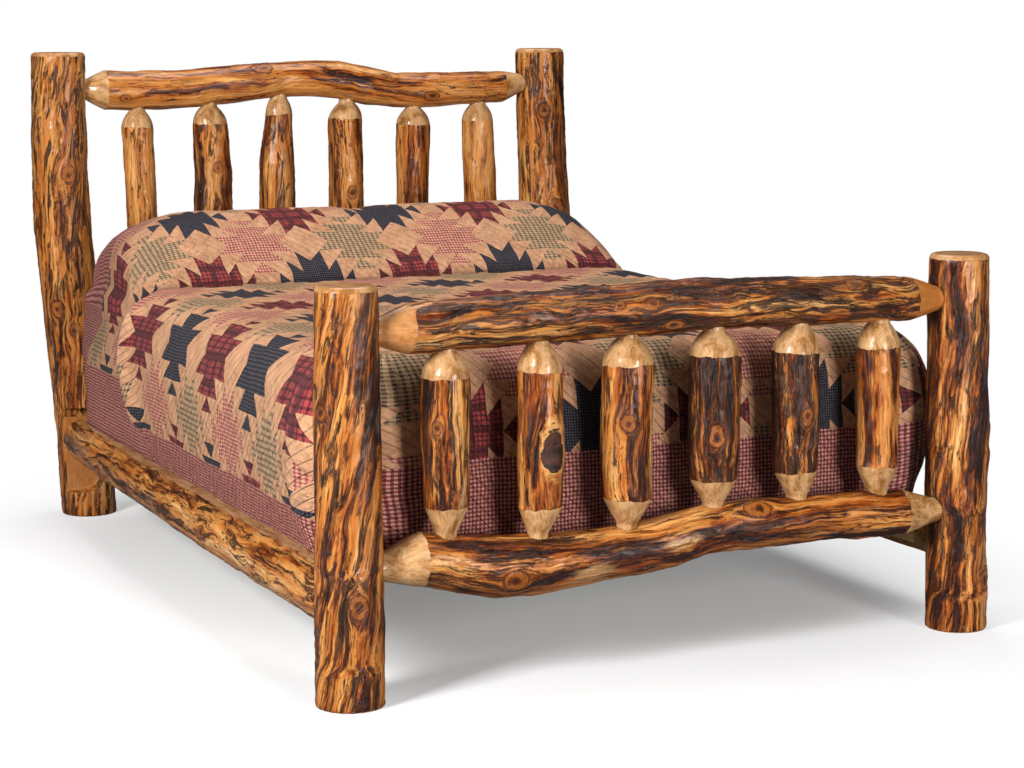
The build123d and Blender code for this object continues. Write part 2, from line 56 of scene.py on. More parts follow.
def addNode(tree, kind, inputs=None, stops=None, **settings):  # a node, with its inputs by name or in order
    plain = kind.startswith(("Geometry", "Function", "NodeGroup"))
    node = tree.nodes.new(kind if plain else "ShaderNode" + kind)
    for name, value in settings.items():
        setattr(node, name, value)
    if stops:  # a colour ramp's positions with their colours
        ramp = node.color_ramp.elements
        while len(ramp) < len(stops):
            ramp.new(1.0)
        for element, (place, shade) in zip(ramp, stops):
            element.position = place
            element.color = linearColour(shade) if isinstance(shade, str) else (shade, shade, shade, 1)
    for key, given in (inputs.items() if isinstance(inputs, dict) else enumerate(inputs or ())):
        socket = node.inputs[key]
        for value in (given if isinstance(given, list) else [given]):
            if isinstance(value, bpy.types.Node):
                value = next(out for out in value.outputs if out.enabled)
            if isinstance(value, bpy.types.NodeSocket):
                tree.links.new(value, socket)
            else:
                socket.default_value = value
    return node


def addLayer(node, under, over, mask, amount=1.0, kind="MIX"):  # lays a colour over another by a mask
    share = mask if amount == 1.0 else node("Math", [mask, amount], operation="MULTIPLY")
    return node("Mix", {0: share, 6: under, 7: over}, data_type="RGBA", blend_type=kind)


def addWave(node, value, pitch, phase=0.0):  # a sine wave that repeats at a pitch in metres
    turns = node("Math", [value, 2 * math.pi / pitch, phase], operation="MULTIPLY_ADD")
    return node("Math", [turns], operation="SINE")


def newMaterial(name):  # an empty material, and what adds a node to it
    material = bpy.data.materials.new(name)
    material.use_nodes = True
    material.node_tree.nodes.clear()
    return material, partial(addNode, material.node_tree)


def newObject(name, data):
    piece = bpy.data.objects.new(name, data)
    bpy.context.scene.collection.objects.link(piece)
    return piece


def handOver(piece, body, slot, *replaced):  # puts a piece on its body, in the place of its CAD nodes
    if replaced:
        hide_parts(*replaced)
    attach(piece, body)


def newGeometryTree(name, sizes):  # a Geometry Nodes tree with its named sizes as inputs
    tree = bpy.data.node_groups.new(name, "GeometryNodeTree")
    tree.interface.new_socket(name="Geometry", in_out="INPUT", socket_type="NodeSocketGeometry")
    for label, value in sizes.items():
        kind = "Int" if isinstance(value, int) else "Vector" if isinstance(value, tuple) else "Float"
        socket = tree.interface.new_socket(name=label, in_out="INPUT", socket_type="NodeSocket" + kind)
        socket.default_value = value
    tree.interface.new_socket(name="Geometry", in_out="OUTPUT", socket_type="NodeSocketGeometry")
    node = partial(addNode, tree)
    return tree, node, node("NodeGroupInput").outputs


def finishGeometry(node, geometry, material):
    realized = node("GeometryNodeRealizeInstances", {"Geometry": geometry})
    painted = node("GeometryNodeSetMaterial", {"Geometry": realized, "Material": material})
    node("NodeGroupOutput", {"Geometry": painted})


def growPiece(name, points, edges, tree, sizes, facing=None):  # runs a tree on points or edges to a mesh
    mesh = bpy.data.meshes.new(name)
    mesh.from_pydata([tuple(p) for p in points], edges, [])
    if facing is not None:
        keepAttribute(mesh, "facing", np.array(facing))
    piece = newObject(name, mesh)
    grow = piece.modifiers.new("grow", "NODES")
    grow.node_group = tree
    for item in tree.interface.items_tree:
        if item.in_out == "INPUT" and item.name in sizes:
            grow[item.identifier] = sizes[item.name]
    return applyModifiers(piece)


def mergedCopy(node, name):  # a CAD node's mesh as a new object, with its loose triangles joined
    mesh = nodes[node].data.copy()
    mesh.materials.clear()
    solid = bmesh.new()
    solid.from_mesh(mesh)
    bmesh.ops.remove_doubles(solid, verts=solid.verts, dist=1e-5)
    solid.to_mesh(mesh)
    solid.free()
    return newObject(name, mesh)


def applyModifiers(piece):  # puts the result of a piece's modifiers into its mesh
    depsgraph = bpy.context.evaluated_depsgraph_get()
    depsgraph.update()
    mesh = bpy.data.meshes.new_from_object(piece.evaluated_get(depsgraph))
    piece.modifiers.clear()
    piece.data = mesh
    return piece


def meshPoints(mesh):
    points = np.empty(len(mesh.vertices) * 3)
    mesh.vertices.foreach_get("co", points)
    return points.reshape(-1, 3)


def meshNormals(mesh):
    normals = np.empty(len(mesh.vertices) * 3)
    mesh.vertex_normals.foreach_get("vector", normals)
    return normals.reshape(-1, 3)


def movePoints(mesh, points):
    mesh.vertices.foreach_set("co", points.astype(np.float32).ravel())
    mesh.update()


def keepAttribute(mesh, name, values):
    kind = "FLOAT_VECTOR" if values.ndim == 2 else "FLOAT"
    attribute = mesh.attributes.new(name, kind, "POINT")
    attribute.data.foreach_set("vector" if values.ndim == 2 else "value", values.astype(np.float32).ravel())


def smoothStep(value, low, high):
    t = np.clip((value - low) / (high - low), 0, 1)
    return t * t * (3 - 2 * t)


def smoothNoise(points, seed):  # value noise from -1 to 1, the same on every run
    cell = np.floor(points).astype(np.int64)
    part = points - cell
    part = part * part * part * (part * (part * 6 - 15) + 10)
    total = np.zeros(len(points))
    for corner in range(8):
        step = np.array([corner & 1, corner >> 1 & 1, corner >> 2 & 1])
        x, y, z = (cell + step).T
        h = (x * 73856093) ^ (y * 19349663) ^ (z * 83492791) ^ (seed * 2654435761)
        h = (h ^ (h >> 13)) * 1274126177 & 0xFFFFFFFF
        h = (h ^ (h >> 16)) & 0xFFFF
        weight = np.prod(np.where(step, part, 1 - part), axis=1)
        total += weight * (h / 32767.5 - 1)
    return total


logWork = {
    "postVoxel": 0.0042, "railVoxel": 0.0042, "spindleVoxel": 0.0036,
    "lump": 0.0022,          # wide unevenness left by the draw knife
    "ridge": 0.0009,         # shallow ridges along the grain
    "dimple": 0.0006,
    "facet": 0.0010,         # flats left on the points by the knife
    "crownRim": 0.012,       # bare wood round a post's sawn top
    "railTenon": 0.058, "spindleTenon": 0.034,
    "headRailPoint": 0.060, "footTopPoint": 0.070, "footBottomPoint": 0.092,
    "headSpindlePoint": 0.050, "footSpindlePoint": 0.058,
    "seatLow": 0.06, "seatHigh": 0.300,      # the flats on the posts where the side rails meet them
    "sawnInside": 0.7825,    # how far out from the bed's middle the side rails' sawn faces are
    "slice": 0.03,           # steps along a log in which its middle is found
    "soft": 0.012,           # how soon the knife's flats fade out towards the skin
    "spindleFlats": 7, "railFlats": 9,       # how many flats the knife leaves round a point
    "ridgeFine": 70, "dimpleFine": 75,       # how fine the ridges and the dimples are, per metre
}
# For each log: the axis it runs along, how dark it is, how much bark and how much grey it has, and for some
# its spiral grain (radians per metre), how stained its points are and how many knots are bark holes.
# Knots are (place across or along in x or y, height z, half length along, half width, rise), in metres.
logs = {
    "head_post_left": dict(axis=2, dark=-1.1, bark=0.6, grey=0.1, twist=-1.0, knots=[
        (-0.80, 1.02, 0.030, 0.022, 0.006), (-0.84, 0.62, 0.026, 0.020, 0.004)]),
    "head_post_right": dict(axis=2, dark=-0.6, bark=0.6, grey=0.1, knots=[
        (0.76, 1.18, 0.028, 0.020, 0.005), (0.80, 0.86, 0.034, 0.024, 0.006)]),
    "foot_post_left": dict(axis=2, dark=0.35, bark=0.5, twist=-2.6, grey=0.0, knots=[
        (-0.80, 0.235, 0.034, 0.024, 0.005), (-0.745, 0.56, 0.018, 0.014, 0.002)]),
    "foot_post_right": dict(axis=2, dark=1.2, bark=0.5, twist=-1.2, grey=0.0, knots=[
        (0.75, 0.80, 0.026, 0.020, 0.004), (0.855, 0.46, 0.045, 0.032, 0.010),
        (0.835, 0.125, 0.034, 0.030, 0.006)]),
    "head_top_rail": dict(axis=0, dark=-0.35, bark=0.0, grey=0.4, knots=[
        (-0.61, 1.235, 0.022, 0.013, 0.002), (-0.35, 1.225, 0.030, 0.016, 0.003),
        (-0.18, 1.32, 0.036, 0.020, 0.005), (0.38, 1.23, 0.026, 0.015, 0.003),
        (0.665, 1.265, 0.020, 0.013, 0.002)]),
    "head_bottom_rail": dict(axis=0, dark=0.1, bark=0.35, grey=0.1, knots=[(0.3, 0.46, 0.02, 0.015, 0.002)]),
    "foot_top_rail": dict(axis=0, dark=0.65, bark=0.6, grey=0.1, startStain=0.55, endStain=0.9, knots=[
        (-0.16, 0.845, 0.016, 0.008, 0.001), (-0.02, 0.795, 0.024, 0.012, 0.002),
        (0.47, 0.86, 0.03, 0.016, 0.004)]),
    "foot_bottom_rail": dict(axis=0, dark=0.35, bark=0.3, grey=0.1, knots=[
        (0.21, 0.35, 0.040, 0.022, 0.006), (-0.42, 0.25, 0.030, 0.018, 0.004)]),
    "side_rail_left": dict(axis=1, dark=-0.3, bark=0.45, grey=0.3, knots=[
        (0.62, 0.20, 0.050, 0.034, 0.006), (-0.35, 0.23, 0.024, 0.018, 0.003)]),
    "side_rail_right": dict(axis=1, dark=-0.2, bark=0.4, grey=0.2, knots=[(0.1, 0.21, 0.03, 0.02, 0.004)]),
    "head_spindle_1": dict(axis=2, dark=-0.55, bark=0.25, grey=0.1, knots=[]),
    "head_spindle_2": dict(axis=2, dark=-0.3, bark=0.5, grey=0.2, knots=[(-0.33, 1.02, 0.02, 0.014, 0.003)]),
    "head_spindle_3": dict(axis=2, dark=-0.1, bark=0.45, grey=0.55, knots=[]),
    "head_spindle_4": dict(axis=2, dark=-0.4, bark=0.35, grey=0.1, knots=[(0.11, 0.93, 0.02, 0.015, 0.002)]),
    "head_spindle_5": dict(axis=2, dark=-0.5, bark=0.25, grey=0.0, knots=[]),
    "head_spindle_6": dict(axis=2, dark=-0.6, bark=0.15, grey=0.0, knots=[]),
    "foot_spindle_1": dict(axis=2, dark=0.9, bark=0.45, grey=0.0, knots=[(-0.60, 0.60, 0.016, 0.012, 0.002)]),
    "foot_spindle_2": dict(axis=2, dark=0.4, bark=0.3, grey=0.0, holes=1, knots=[
        (-0.325, 0.53, 0.058, 0.026, 0.008)]),
    "foot_spindle_3": dict(axis=2, dark=1.4, bark=0.35, grey=0.0, knots=[
        (-0.14, 0.575, 0.022, 0.018, 0.005)]),
    "foot_spindle_4": dict(axis=2, dark=1.0, bark=0.9, grey=0.1, knots=[(0.09, 0.53, 0.03, 0.018, 0.004)]),
    "foot_spindle_5": dict(axis=2, dark=0.7, bark=0.9, grey=0.0, knots=[(0.33, 0.56, 0.026, 0.016, 0.004)]),
    "foot_spindle_6": dict(axis=2, dark=0.35, bark=0.2, grey=0.0, knots=[(0.58, 0.42, 0.016, 0.012, 0.002)]),
}
# Stains and scars on the seen sides: node, place, height z, half length, half width, which attribute, amount.
patches = [
    ("foot_top_rail", -0.40, 0.845, 0.12, 0.030, "grey", 0.9),
    ("foot_top_rail", 0.20, 0.83, 0.40, 0.030, "bark", 0.35),
    ("foot_bottom_rail", -0.22, 0.24, 0.07, 0.035, "pale", 0.8),
    ("foot_bottom_rail", 0.0, 0.30, 0.07, 0.025, "pale", 0.7),
    ("foot_bottom_rail", -0.36, 0.31, 0.12, 0.03, "bark", 0.5),
    ("foot_bottom_rail", -0.58, 0.28, 0.25, 0.09, "dark", 1.1),
    ("foot_spindle_1", -0.54, 0.46, 0.05, 0.014, "pale", 0.9),
    ("foot_spindle_2", -0.325, 0.53, 0.062, 0.030, "bark", 0.9),
    ("foot_post_left", -0.83, 0.21, 0.08, 0.03, "bark", 0.5),
    ("side_rail_left", 0.95, 0.24, 0.14, 0.05, "grey", 0.9),
    ("side_rail_left", 0.35, 0.22, 0.25, 0.05, "grey", 0.5),
    ("head_spindle_1", -0.53, 1.0, 0.03, 0.02, "pale", 0.8),
]


def peeledSkin(node, voxel):  # a log's CAD form as an even mesh, drawn back onto the CAD surface
    surface = mergedCopy(node, node + "_cut")
    piece = newObject(node + "_peeled", surface.data.copy())
    remesh = piece.modifiers.new("skin", "REMESH")
    remesh.mode, remesh.voxel_size = "VOXEL", voxel
    wrap = piece.modifiers.new("wrap", "SHRINKWRAP")
    wrap.target, wrap.wrap_method = surface, "NEAREST_SURFACEPOINT"
    relax = piece.modifiers.new("relax", "SMOOTH")
    relax.factor, relax.iterations = 0.5, 3
    applyModifiers(piece)
    bpy.data.objects.remove(surface)
    return piece


def logSpace(mesh, axis):  # each point's place, how far along the log it is, and its angle and reach round it
    points, normals = meshPoints(mesh), meshNormals(mesh)
    low, high = points.min(0), points.max(0)
    others = [k for k in range(3) if k != axis]
    along, step = points[:, axis], logWork["slice"]
    bins = np.clip(((along - low[axis]) / step).astype(int), 0, None)
    centres = np.array([
        [(points[bins == k][:, o].min() + points[bins == k][:, o].max()) / 2 for o in others]
        if np.any(bins == k) else [np.nan, np.nan] for k in range(bins.max() + 1)
    ])
    middles = low[axis] + step / 2 + step * np.arange(len(centres))
    good = ~np.isnan(centres[:, 0])
    centre = np.stack([np.interp(along, middles[good], centres[good, c]) for c in (0, 1)], 1)
    cross = points[:, others] - centre
    reach = np.maximum(np.linalg.norm(cross, axis=1), 1e-4)
    return SimpleNamespace(
        axis=axis, points=points, normals=normals, low=low, high=high, along=along, reach=reach,
        angle=np.arctan2(cross[:, 1], cross[:, 0]), radius=float(np.median(reach)))


def pickPoint(log, place, height):  # the nearest point of a log's outward or foot-facing side
    across, facing = (1, 0) if log.axis == 1 else (0, 1)
    outward = np.sign(np.mean(log.points[:, 0])) if log.axis == 1 else -1
    seen = log.normals[:, facing] * outward > 0.15
    distance = np.hypot(log.points[:, across] - place, log.points[:, 2] - height) + np.where(seen, 0, 10)
    return int(np.argmin(distance))


def offsetsFrom(log, index):  # how far along and round the log each point is from one of them
    turn = (log.angle - log.angle[index] + math.pi) % (2 * math.pi) - math.pi
    return log.along - log.along[index], turn * log.radius


def bareWood(node, settings, number, log):  # metres past the edge of the skin, the knife's flats, and stain
    points, along, isSpindle = log.points, log.along, "spindle" in node
    start, end, top = log.low[log.axis], log.high[log.axis], log.high[2]
    facetDepth, stain = np.zeros(len(points)), np.zeros(len(points))
    if "post" in node:  # sawn crown and foot, and the flat where the side rail meets it
        railLow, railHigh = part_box("side_rail_left")
        seat = railLow.y if "foot" in node else railHigh.y
        onSeat = (points[:, 2] > logWork["seatLow"]) & (points[:, 2] < logWork["seatHigh"])
        bare = points[:, 2] - (top - logWork["crownRim"])
        bare = np.maximum(bare, np.where(onSeat, 0.0015 - np.abs(points[:, 1] - seat), -0.05))
        bare = np.maximum(bare, 0.003 - points[:, 2])
        stain = np.where(points[:, 2] > top - 0.03, 0.25, 0.75)
    elif log.axis == 1:  # side rails, sawn flat inside and on top
        bare = np.maximum(points[:, 2] - (top - 0.0015), logWork["sawnInside"] - np.abs(points[:, 0]))
    else:  # points cut at both ends
        point = logWork[
            ("head" if "head" in node else "foot") + "SpindlePoint" if isSpindle
            else "headRailPoint" if "head" in node
            else "footTopPoint" if "top" in node else "footBottomPoint"]
        skinEnd = point + logWork["spindleTenon" if isSpindle else "railTenon"]
        bare = np.maximum(start + skinEnd - along, along - (end - skinEnd))
        facets = logWork["spindleFlats" if isSpindle else "railFlats"]
        cuts = np.abs(np.cos(facets / 2 * log.angle + 0.7 * np.sin(2 * log.angle + number)))
        facetDepth = logWork["facet"] * cuts * smoothStep(bare, 0.0, logWork["soft"])
        bare = bare + 0.003 * cuts - 0.0015 + 0.0025 * np.sin(log.angle + 2 * number)
        isEnd = along > (start + end) / 2
        stain = np.where(isEnd, settings.get("endStain", 0.0), settings.get("startStain", 0.0))
    return bare, facetDepth, stain


def knotFields(settings, number, log, bare, small):  # the placed knots, and a few small ones all round
    generator = np.random.default_rng(100 + number)
    knots = [(pickPoint(log, k[0], k[1]),) + k[2:] for k in settings["knots"]]
    free = np.flatnonzero(bare < -0.03)
    for _ in range(small):
        size = generator.uniform(0.008, 0.015)
        knots.append((int(generator.choice(free)), size * 1.4, size, size * 0.12))
    ring = np.full(len(bare), 4.0)
    knotTone, hole, rise = np.zeros(len(bare)), np.zeros(len(bare)), np.zeros(len(bare))
    turned = log.angle + settings.get("twist", 0.0) * log.along  # spiral grain
    for order, (index, halfLong, halfWide, height) in enumerate(knots):
        du, dv = offsetsFrom(log, index)
        r = np.hypot(du / halfLong, dv / halfWide)
        isPlaced = order < len(settings["knots"])
        tone = generator.uniform(0.75, 1.0) if isPlaced else generator.uniform(0.4, 0.7)
        knotTone = np.where(r < ring, tone, knotTone)
        hole = np.where(r < ring, float(order < settings.get("holes", 0)), hole)
        ring = np.minimum(ring, r)
        fade = np.clip(1.6 - r / 2.5, 0, 1)
        turned -= fade * dv / log.radius / np.maximum(r, 1) ** 2 * 0.8  # the grain flows round the knot
        rise += height * (np.exp(-(r / 1.7) ** 2) - 0.6 * np.exp(-(r / 0.55) ** 2))
    return turned, rise, {"ring": ring, "knotTone": knotTone, "hole": hole}


def logRelief(settings, grain, bare, rise, isSawn):  # wide lumps, ridges along the grain, dimples and knots
    skin = np.clip(-bare / 0.006, 0, 1)
    relief = logWork["lump"] * smoothNoise(grain * 9, 3) + 0.5 * logWork["lump"] * smoothNoise(grain * 21, 4)
    rough = skin * (1 + settings["bark"])
    relief += rough * logWork["ridge"] * smoothNoise(grain * [1, 1, 0.18] * logWork["ridgeFine"], 5)
    relief += rough * logWork["dimple"] * smoothNoise(grain * logWork["dimpleFine"], 6)
    return np.where((bare > 0) & isSawn, 0.15 * relief, relief * (0.35 + 0.65 * skin)) + skin * rise


def stainFields(node, settings, log):  # how dark, barky, grey and pale each point is
    stains = {
        name: np.full(len(log.along), settings.get(name, 0.0)) for name in ("dark", "bark", "grey", "pale")}
    for owner, place, height, halfLong, halfWide, name, amount in patches:
        if owner == node:
            du, dv = offsetsFrom(log, pickPoint(log, place, height))
            stains[name] += amount * np.exp(-(du / halfLong) ** 2 - (dv / halfWide) ** 2)
    return stains


def buildLog(node, settings, number):
    isSpindle, isPost = "spindle" in node, "post" in node
    piece = peeledSkin(node, logWork["spindleVoxel" if isSpindle else "postVoxel" if isPost else "railVoxel"])
    log = logSpace(piece.data, settings["axis"])
    bare, facetDepth, stain = bareWood(node, settings, number, log)
    turned, rise, knots = knotFields(settings, number, log, bare, 0 if isSpindle else 2)
    span = np.maximum(log.reach, log.radius * 0.35)
    grain = np.stack([np.cos(turned) * span, np.sin(turned) * span, log.along + 3.1 * number], 1)
    relief = logRelief(settings, grain, bare, rise, isPost or log.axis == 1) - facetDepth
    if isPost:
        relief *= np.clip(log.points[:, 2] / 0.01, 0, 1)
    movePoints(piece.data, log.points + log.normals * relief[:, None])
    fields = {"grain": grain, "bare": bare} | knots | {"stain": stain} | stainFields(node, settings, log)
    for name, values in fields.items():
        keepAttribute(piece.data, name, values)
    piece.data.shade_smooth()
    piece.data.materials.append(peeledPine)
    handOver(piece, "frame", "peeled_log", node)


pineColours = {
    "deep": "1c0903", "brown": "5c2406", "orange": "984f15",
    "gold": "b87332", "straw": "cf9856", "cream": "e2bc8a",
    "streak": "290f07", "bark": "110805", "barkRed": "4a2310", "grey": "7d6a52", "rust": "8f3f14",
    "bareLight": "c39a6c", "bareMid": "ae8052", "bareDark": "885a2c", "bareStain": "8a4a1c",
    "knotHeart": "200c06", "knotWood": "a45f24", "knotRing": "45200d",
}


def pineTools(node):  # what every layer of the pine is made with
    grain = node("Attribute", attribute_name="grain").outputs["Vector"]
    field = {
        name: node("Attribute", attribute_name=name).outputs["Fac"]
        for name in ("bare", "ring", "knotTone", "hole", "dark", "bark", "grey", "pale", "stain")
    }
    # wander: bends every pattern a little, so that no streak runs dead straight
    bend = node("TexNoise", {"Vector": grain, "Scale": 6.0, "Detail": 2.0})
    bendOff = node("VectorMath", [bend.outputs["Color"], (0.5, 0.5, 0.5)], operation="SUBTRACT")
    bendBy = node("VectorMath", [bendOff, (0.04, 0.04, 0.05)], operation="MULTIPLY")
    wood = node("VectorMath", [grain, bendBy], operation="ADD")

    def streaks(across, along, detail, rough=0.5, distortion=0.0):  # noise drawn out along the grain
        scaled = node("VectorMath", [wood, (across, across, along)], operation="MULTIPLY")
        return node("TexNoise", {
            "Vector": scaled, "Scale": 1.0, "Detail": detail, "Roughness": rough, "Distortion": distortion})

    def patch(pattern, low, high, name=None, share=0.0):  # where a pattern passes an edge, helped by a field
        if name:
            pattern = node("Math", [field[name], share, pattern], operation="MULTIPLY_ADD")
        return node("MapRange", [pattern, low, high], interpolation_type="SMOOTHSTEP")

    shades = {name: linearColour(value) for name, value in pineColours.items()}
    return node, partial(addLayer, node), streaks, patch, field, shades


def woodLayers(tools, relief):
    node, layer, streaks, patch, field, shades = tools
    # broad colour: fields 40-80 mm wide drawn out along the log, broken into fibres of 2 mm
    # and gathered in darker and lighter bundles
    broad = streaks(16, 1.5, 10, 0.72, 0.4)
    bundle = node("Math", [field["dark"], 0.05, streaks(29, 2.8, 6, 0.68, 0.6)], operation="MULTIPLY_ADD")
    bundleOff = node("Math", [bundle, 0.5], operation="SUBTRACT")
    gathered = node("Math", [bundleOff, -0.45, broad], operation="MULTIPLY_ADD")
    colour = node("ValToRGB", {"Fac": gathered}, stops=[
        (0.385, pineColours["deep"]), (0.435, pineColours["brown"]), (0.480, pineColours["orange"]),
        (0.530, pineColours["gold"]), (0.600, pineColours["straw"]), (0.680, pineColours["cream"])])
    # red-brown stain in soft clouds
    colour = layer(colour, shades["rust"], patch(streaks(24, 6, 7, 0.7, 0.8), 0.52, 0.62), 0.55)
    # smooth honey-coloured wood between the bundles
    honey = node("ValToRGB", {"Fac": streaks(38, 2.4, 8, 0.62, 0.3)}, stops=[
        (0.34, pineColours["orange"]), (0.50, pineColours["gold"]), (0.66, pineColours["straw"])])
    colour = layer(colour, honey, patch(bundle, 0.53, 0.44), 0.65)
    # grain lines 2-4 mm apart, and fibres
    lines = streaks(210, 5.0, 7, 0.72, 0.3)
    lineShade = node("ValToRGB", {"Fac": lines}, stops=[(0.36, 0.30), (0.44, 0.76), (0.53, 1.0)])
    colour = layer(colour, lineShade, 0.85, kind="MULTIPLY")
    # smoky streaks 8-20 mm wide, with pale fibres left in them
    smoke = node("Math", [bundle, 1.3, streaks(44, 2.3, 10, 0.78, 0.6)], operation="MULTIPLY_ADD")
    smokeMask = node("Math", [patch(smoke, 1.20, 1.34), patch(lines, 0.60, 0.51)], operation="MULTIPLY")
    colour = layer(colour, shades["streak"], smokeMask, 0.92)
    # grey weathered skin
    weathered = node("Math", [streaks(24, 5, 6, 0.62, 0.8), -0.15], operation="ADD")
    greySkin = layer(shades["barkRed"], shades["grey"], lines)
    colour = layer(colour, greySkin, patch(weathered, 0.54, 0.68, "grey", 0.3), 0.7)
    relief += [(smokeMask, -0.15)]
    return colour, broad, lines, lineShade


def barkLayers(tools, relief, colour, lines):
    node, layer, streaks, patch, _, shades = tools
    # inner bark left by the draw knife: ragged black patches with crisp, fibrous edges
    ragged = streaks(50, 6.5, 10, 0.72, 1.0)
    barkMask = patch(ragged, 0.605, 0.65, "bark", 0.155)
    barkTone = layer(shades["bark"], shades["barkRed"], patch(streaks(150, 9, 6, 0.75), 0.47, 0.58))
    barkTone = layer(barkTone, shades["orange"], patch(lines, 0.58, 0.66))
    colour = layer(colour, barkTone, barkMask, 0.92)
    # long black pitch streaks
    pitchMask = patch(streaks(85, 2.6, 7, 0.66, 0.5), 0.61, 0.66, "bark", 0.06)
    # scribbles left under the bark, 1 mm wide, and drying checks, 1 mm wide and long: some places only
    curlOff = node("Math", [streaks(40, 26, 3, 0.45, 2.6), 0.5], operation="SUBTRACT")
    curlLine = patch(node("Math", [curlOff], operation="ABSOLUTE"), 0.009, 0.003)
    curlPlace = patch(streaks(8, 5, 2), 0.54, 0.64, "bark", 0.12)
    curlMask = node("Math", [curlLine, curlPlace], operation="MULTIPLY")
    checkOff = node("Math", [streaks(42, 1.8, 3, 0.5, 0.2), 0.5], operation="SUBTRACT")
    checkLine = patch(node("Math", [checkOff], operation="ABSOLUTE"), 0.007, 0.002)
    checkMask = node("Math", [checkLine, patch(streaks(9, 3, 2), 0.51, 0.60)], operation="MULTIPLY")
    for mask in (pitchMask, curlMask, checkMask):
        colour = layer(colour, shades["bark"], mask, 0.9)
    # pale scars
    scar = layer(shades["bareDark"], shades["bareLight"], patch(lines, 0.4, 0.6))
    colour = layer(colour, scar, patch(streaks(40, 6, 8, 0.7), 0.68, 0.90, "pale", 0.5), 0.8)
    barkGrain = node("Math", [ragged, barkMask], operation="MULTIPLY")
    relief += [(barkMask, 0.5), (barkGrain, 1.8), (pitchMask, -0.5), (curlMask, -0.5), (checkMask, -1.2)]
    return colour, barkMask, ragged


def knotLayers(tools, relief, colour, lineShade, ragged):
    node, layer, streaks, patch, field, shades = tools
    # knots: a dark heart, fine rings in orange wood, a dark outline and a pale lip
    ringOff = node("Math", [field["ring"], -0.9], operation="ADD")
    wobble = node("Math", [streaks(48, 34, 6, 0.7), 1.8, ringOff], operation="MULTIPLY_ADD")
    knotColour = node("ValToRGB", {"Fac": node("Math", [wobble, 2.0], operation="DIVIDE")}, stops=[
        (0.06, pineColours["knotHeart"]), (0.13, pineColours["brown"]), (0.30, pineColours["knotWood"]),
        (0.41, pineColours["orange"]), (0.46, pineColours["knotRing"]), (0.53, pineColours["brown"]),
        (0.60, pineColours["gold"])])
    ripple = node("Math", [node("Math", [wobble, 22.0], operation="MULTIPLY")], operation="SINE")
    rippleShade = node("ValToRGB", {"Fac": ripple}, stops=[(0.1, 1.0), (0.75, 0.6)])
    knotColour = layer(knotColour, rippleShade, patch(wobble, 1.6, 0.9), kind="MULTIPLY")
    knotColour = layer(knotColour, lineShade, 0.8, kind="MULTIPLY")
    knotMask = node("Math", [patch(wobble, 1.25, 0.95), field["knotTone"]], operation="MULTIPLY")
    colour = layer(colour, knotColour, knotMask)
    # bark holes: black and cracked inside a pale lip
    holeTone = layer(shades["bark"], shades["barkRed"], patch(streaks(120, 30, 6, 0.7), 0.42, 0.60))
    lipMask = node("Math", [patch(wobble, 1.30, 1.05), field["hole"]], operation="MULTIPLY")
    colour = layer(colour, shades["straw"], lipMask, 0.8)
    holeMask = node("Math", [patch(wobble, 1.02, 0.92), field["hole"]], operation="MULTIPLY")
    colour = layer(colour, holeTone, holeMask)
    holeGrain = node("Math", [ragged, 2.5], operation="MULTIPLY")
    ringed = node("Math", [ripple, patch(wobble, 1.4, 0.9)], operation="MULTIPLY")
    relief += [(holeMask, holeGrain), (ringed, -0.2)]
    return colour


def cutLayers(tools, colour, lines, lineShade):
    node, layer, streaks, patch, field, shades = tools
    # bare cut wood of the points and sawn faces, darker where the stain took
    bareOff = node("Math", [field["bare"], -0.0035], operation="ADD")
    bareEdge = node("Math", [streaks(70, 14, 4, 0.6), 0.007, bareOff], operation="MULTIPLY_ADD")
    bareMask = patch(bareEdge, -0.0003, 0.0006)
    bareColour = node("ValToRGB", {"Fac": streaks(30, 12, 9, 0.76, 0.5)}, stops=[
        (0.40, pineColours["bareDark"]), (0.48, pineColours["bareMid"]), (0.58, pineColours["bareLight"])])
    age = node("Math", [streaks(20, 9, 3, 0.5, 0.4), 110.0], operation="MULTIPLY")
    years = node("Math", [age], operation="SINE")
    yearShade = node("ValToRGB", {"Fac": years}, stops=[(0.1, 0.55), (0.7, 1.0)])
    bareColour = layer(bareColour, yearShade, 0.3, kind="MULTIPLY")
    bareColour = layer(bareColour, lineShade, lineShade, 0.35, kind="MULTIPLY")
    bareColour = layer(bareColour, layer(shades["bareStain"], shades["gold"], lines), field["stain"])
    return layer(colour, bareColour, bareMask), bareMask


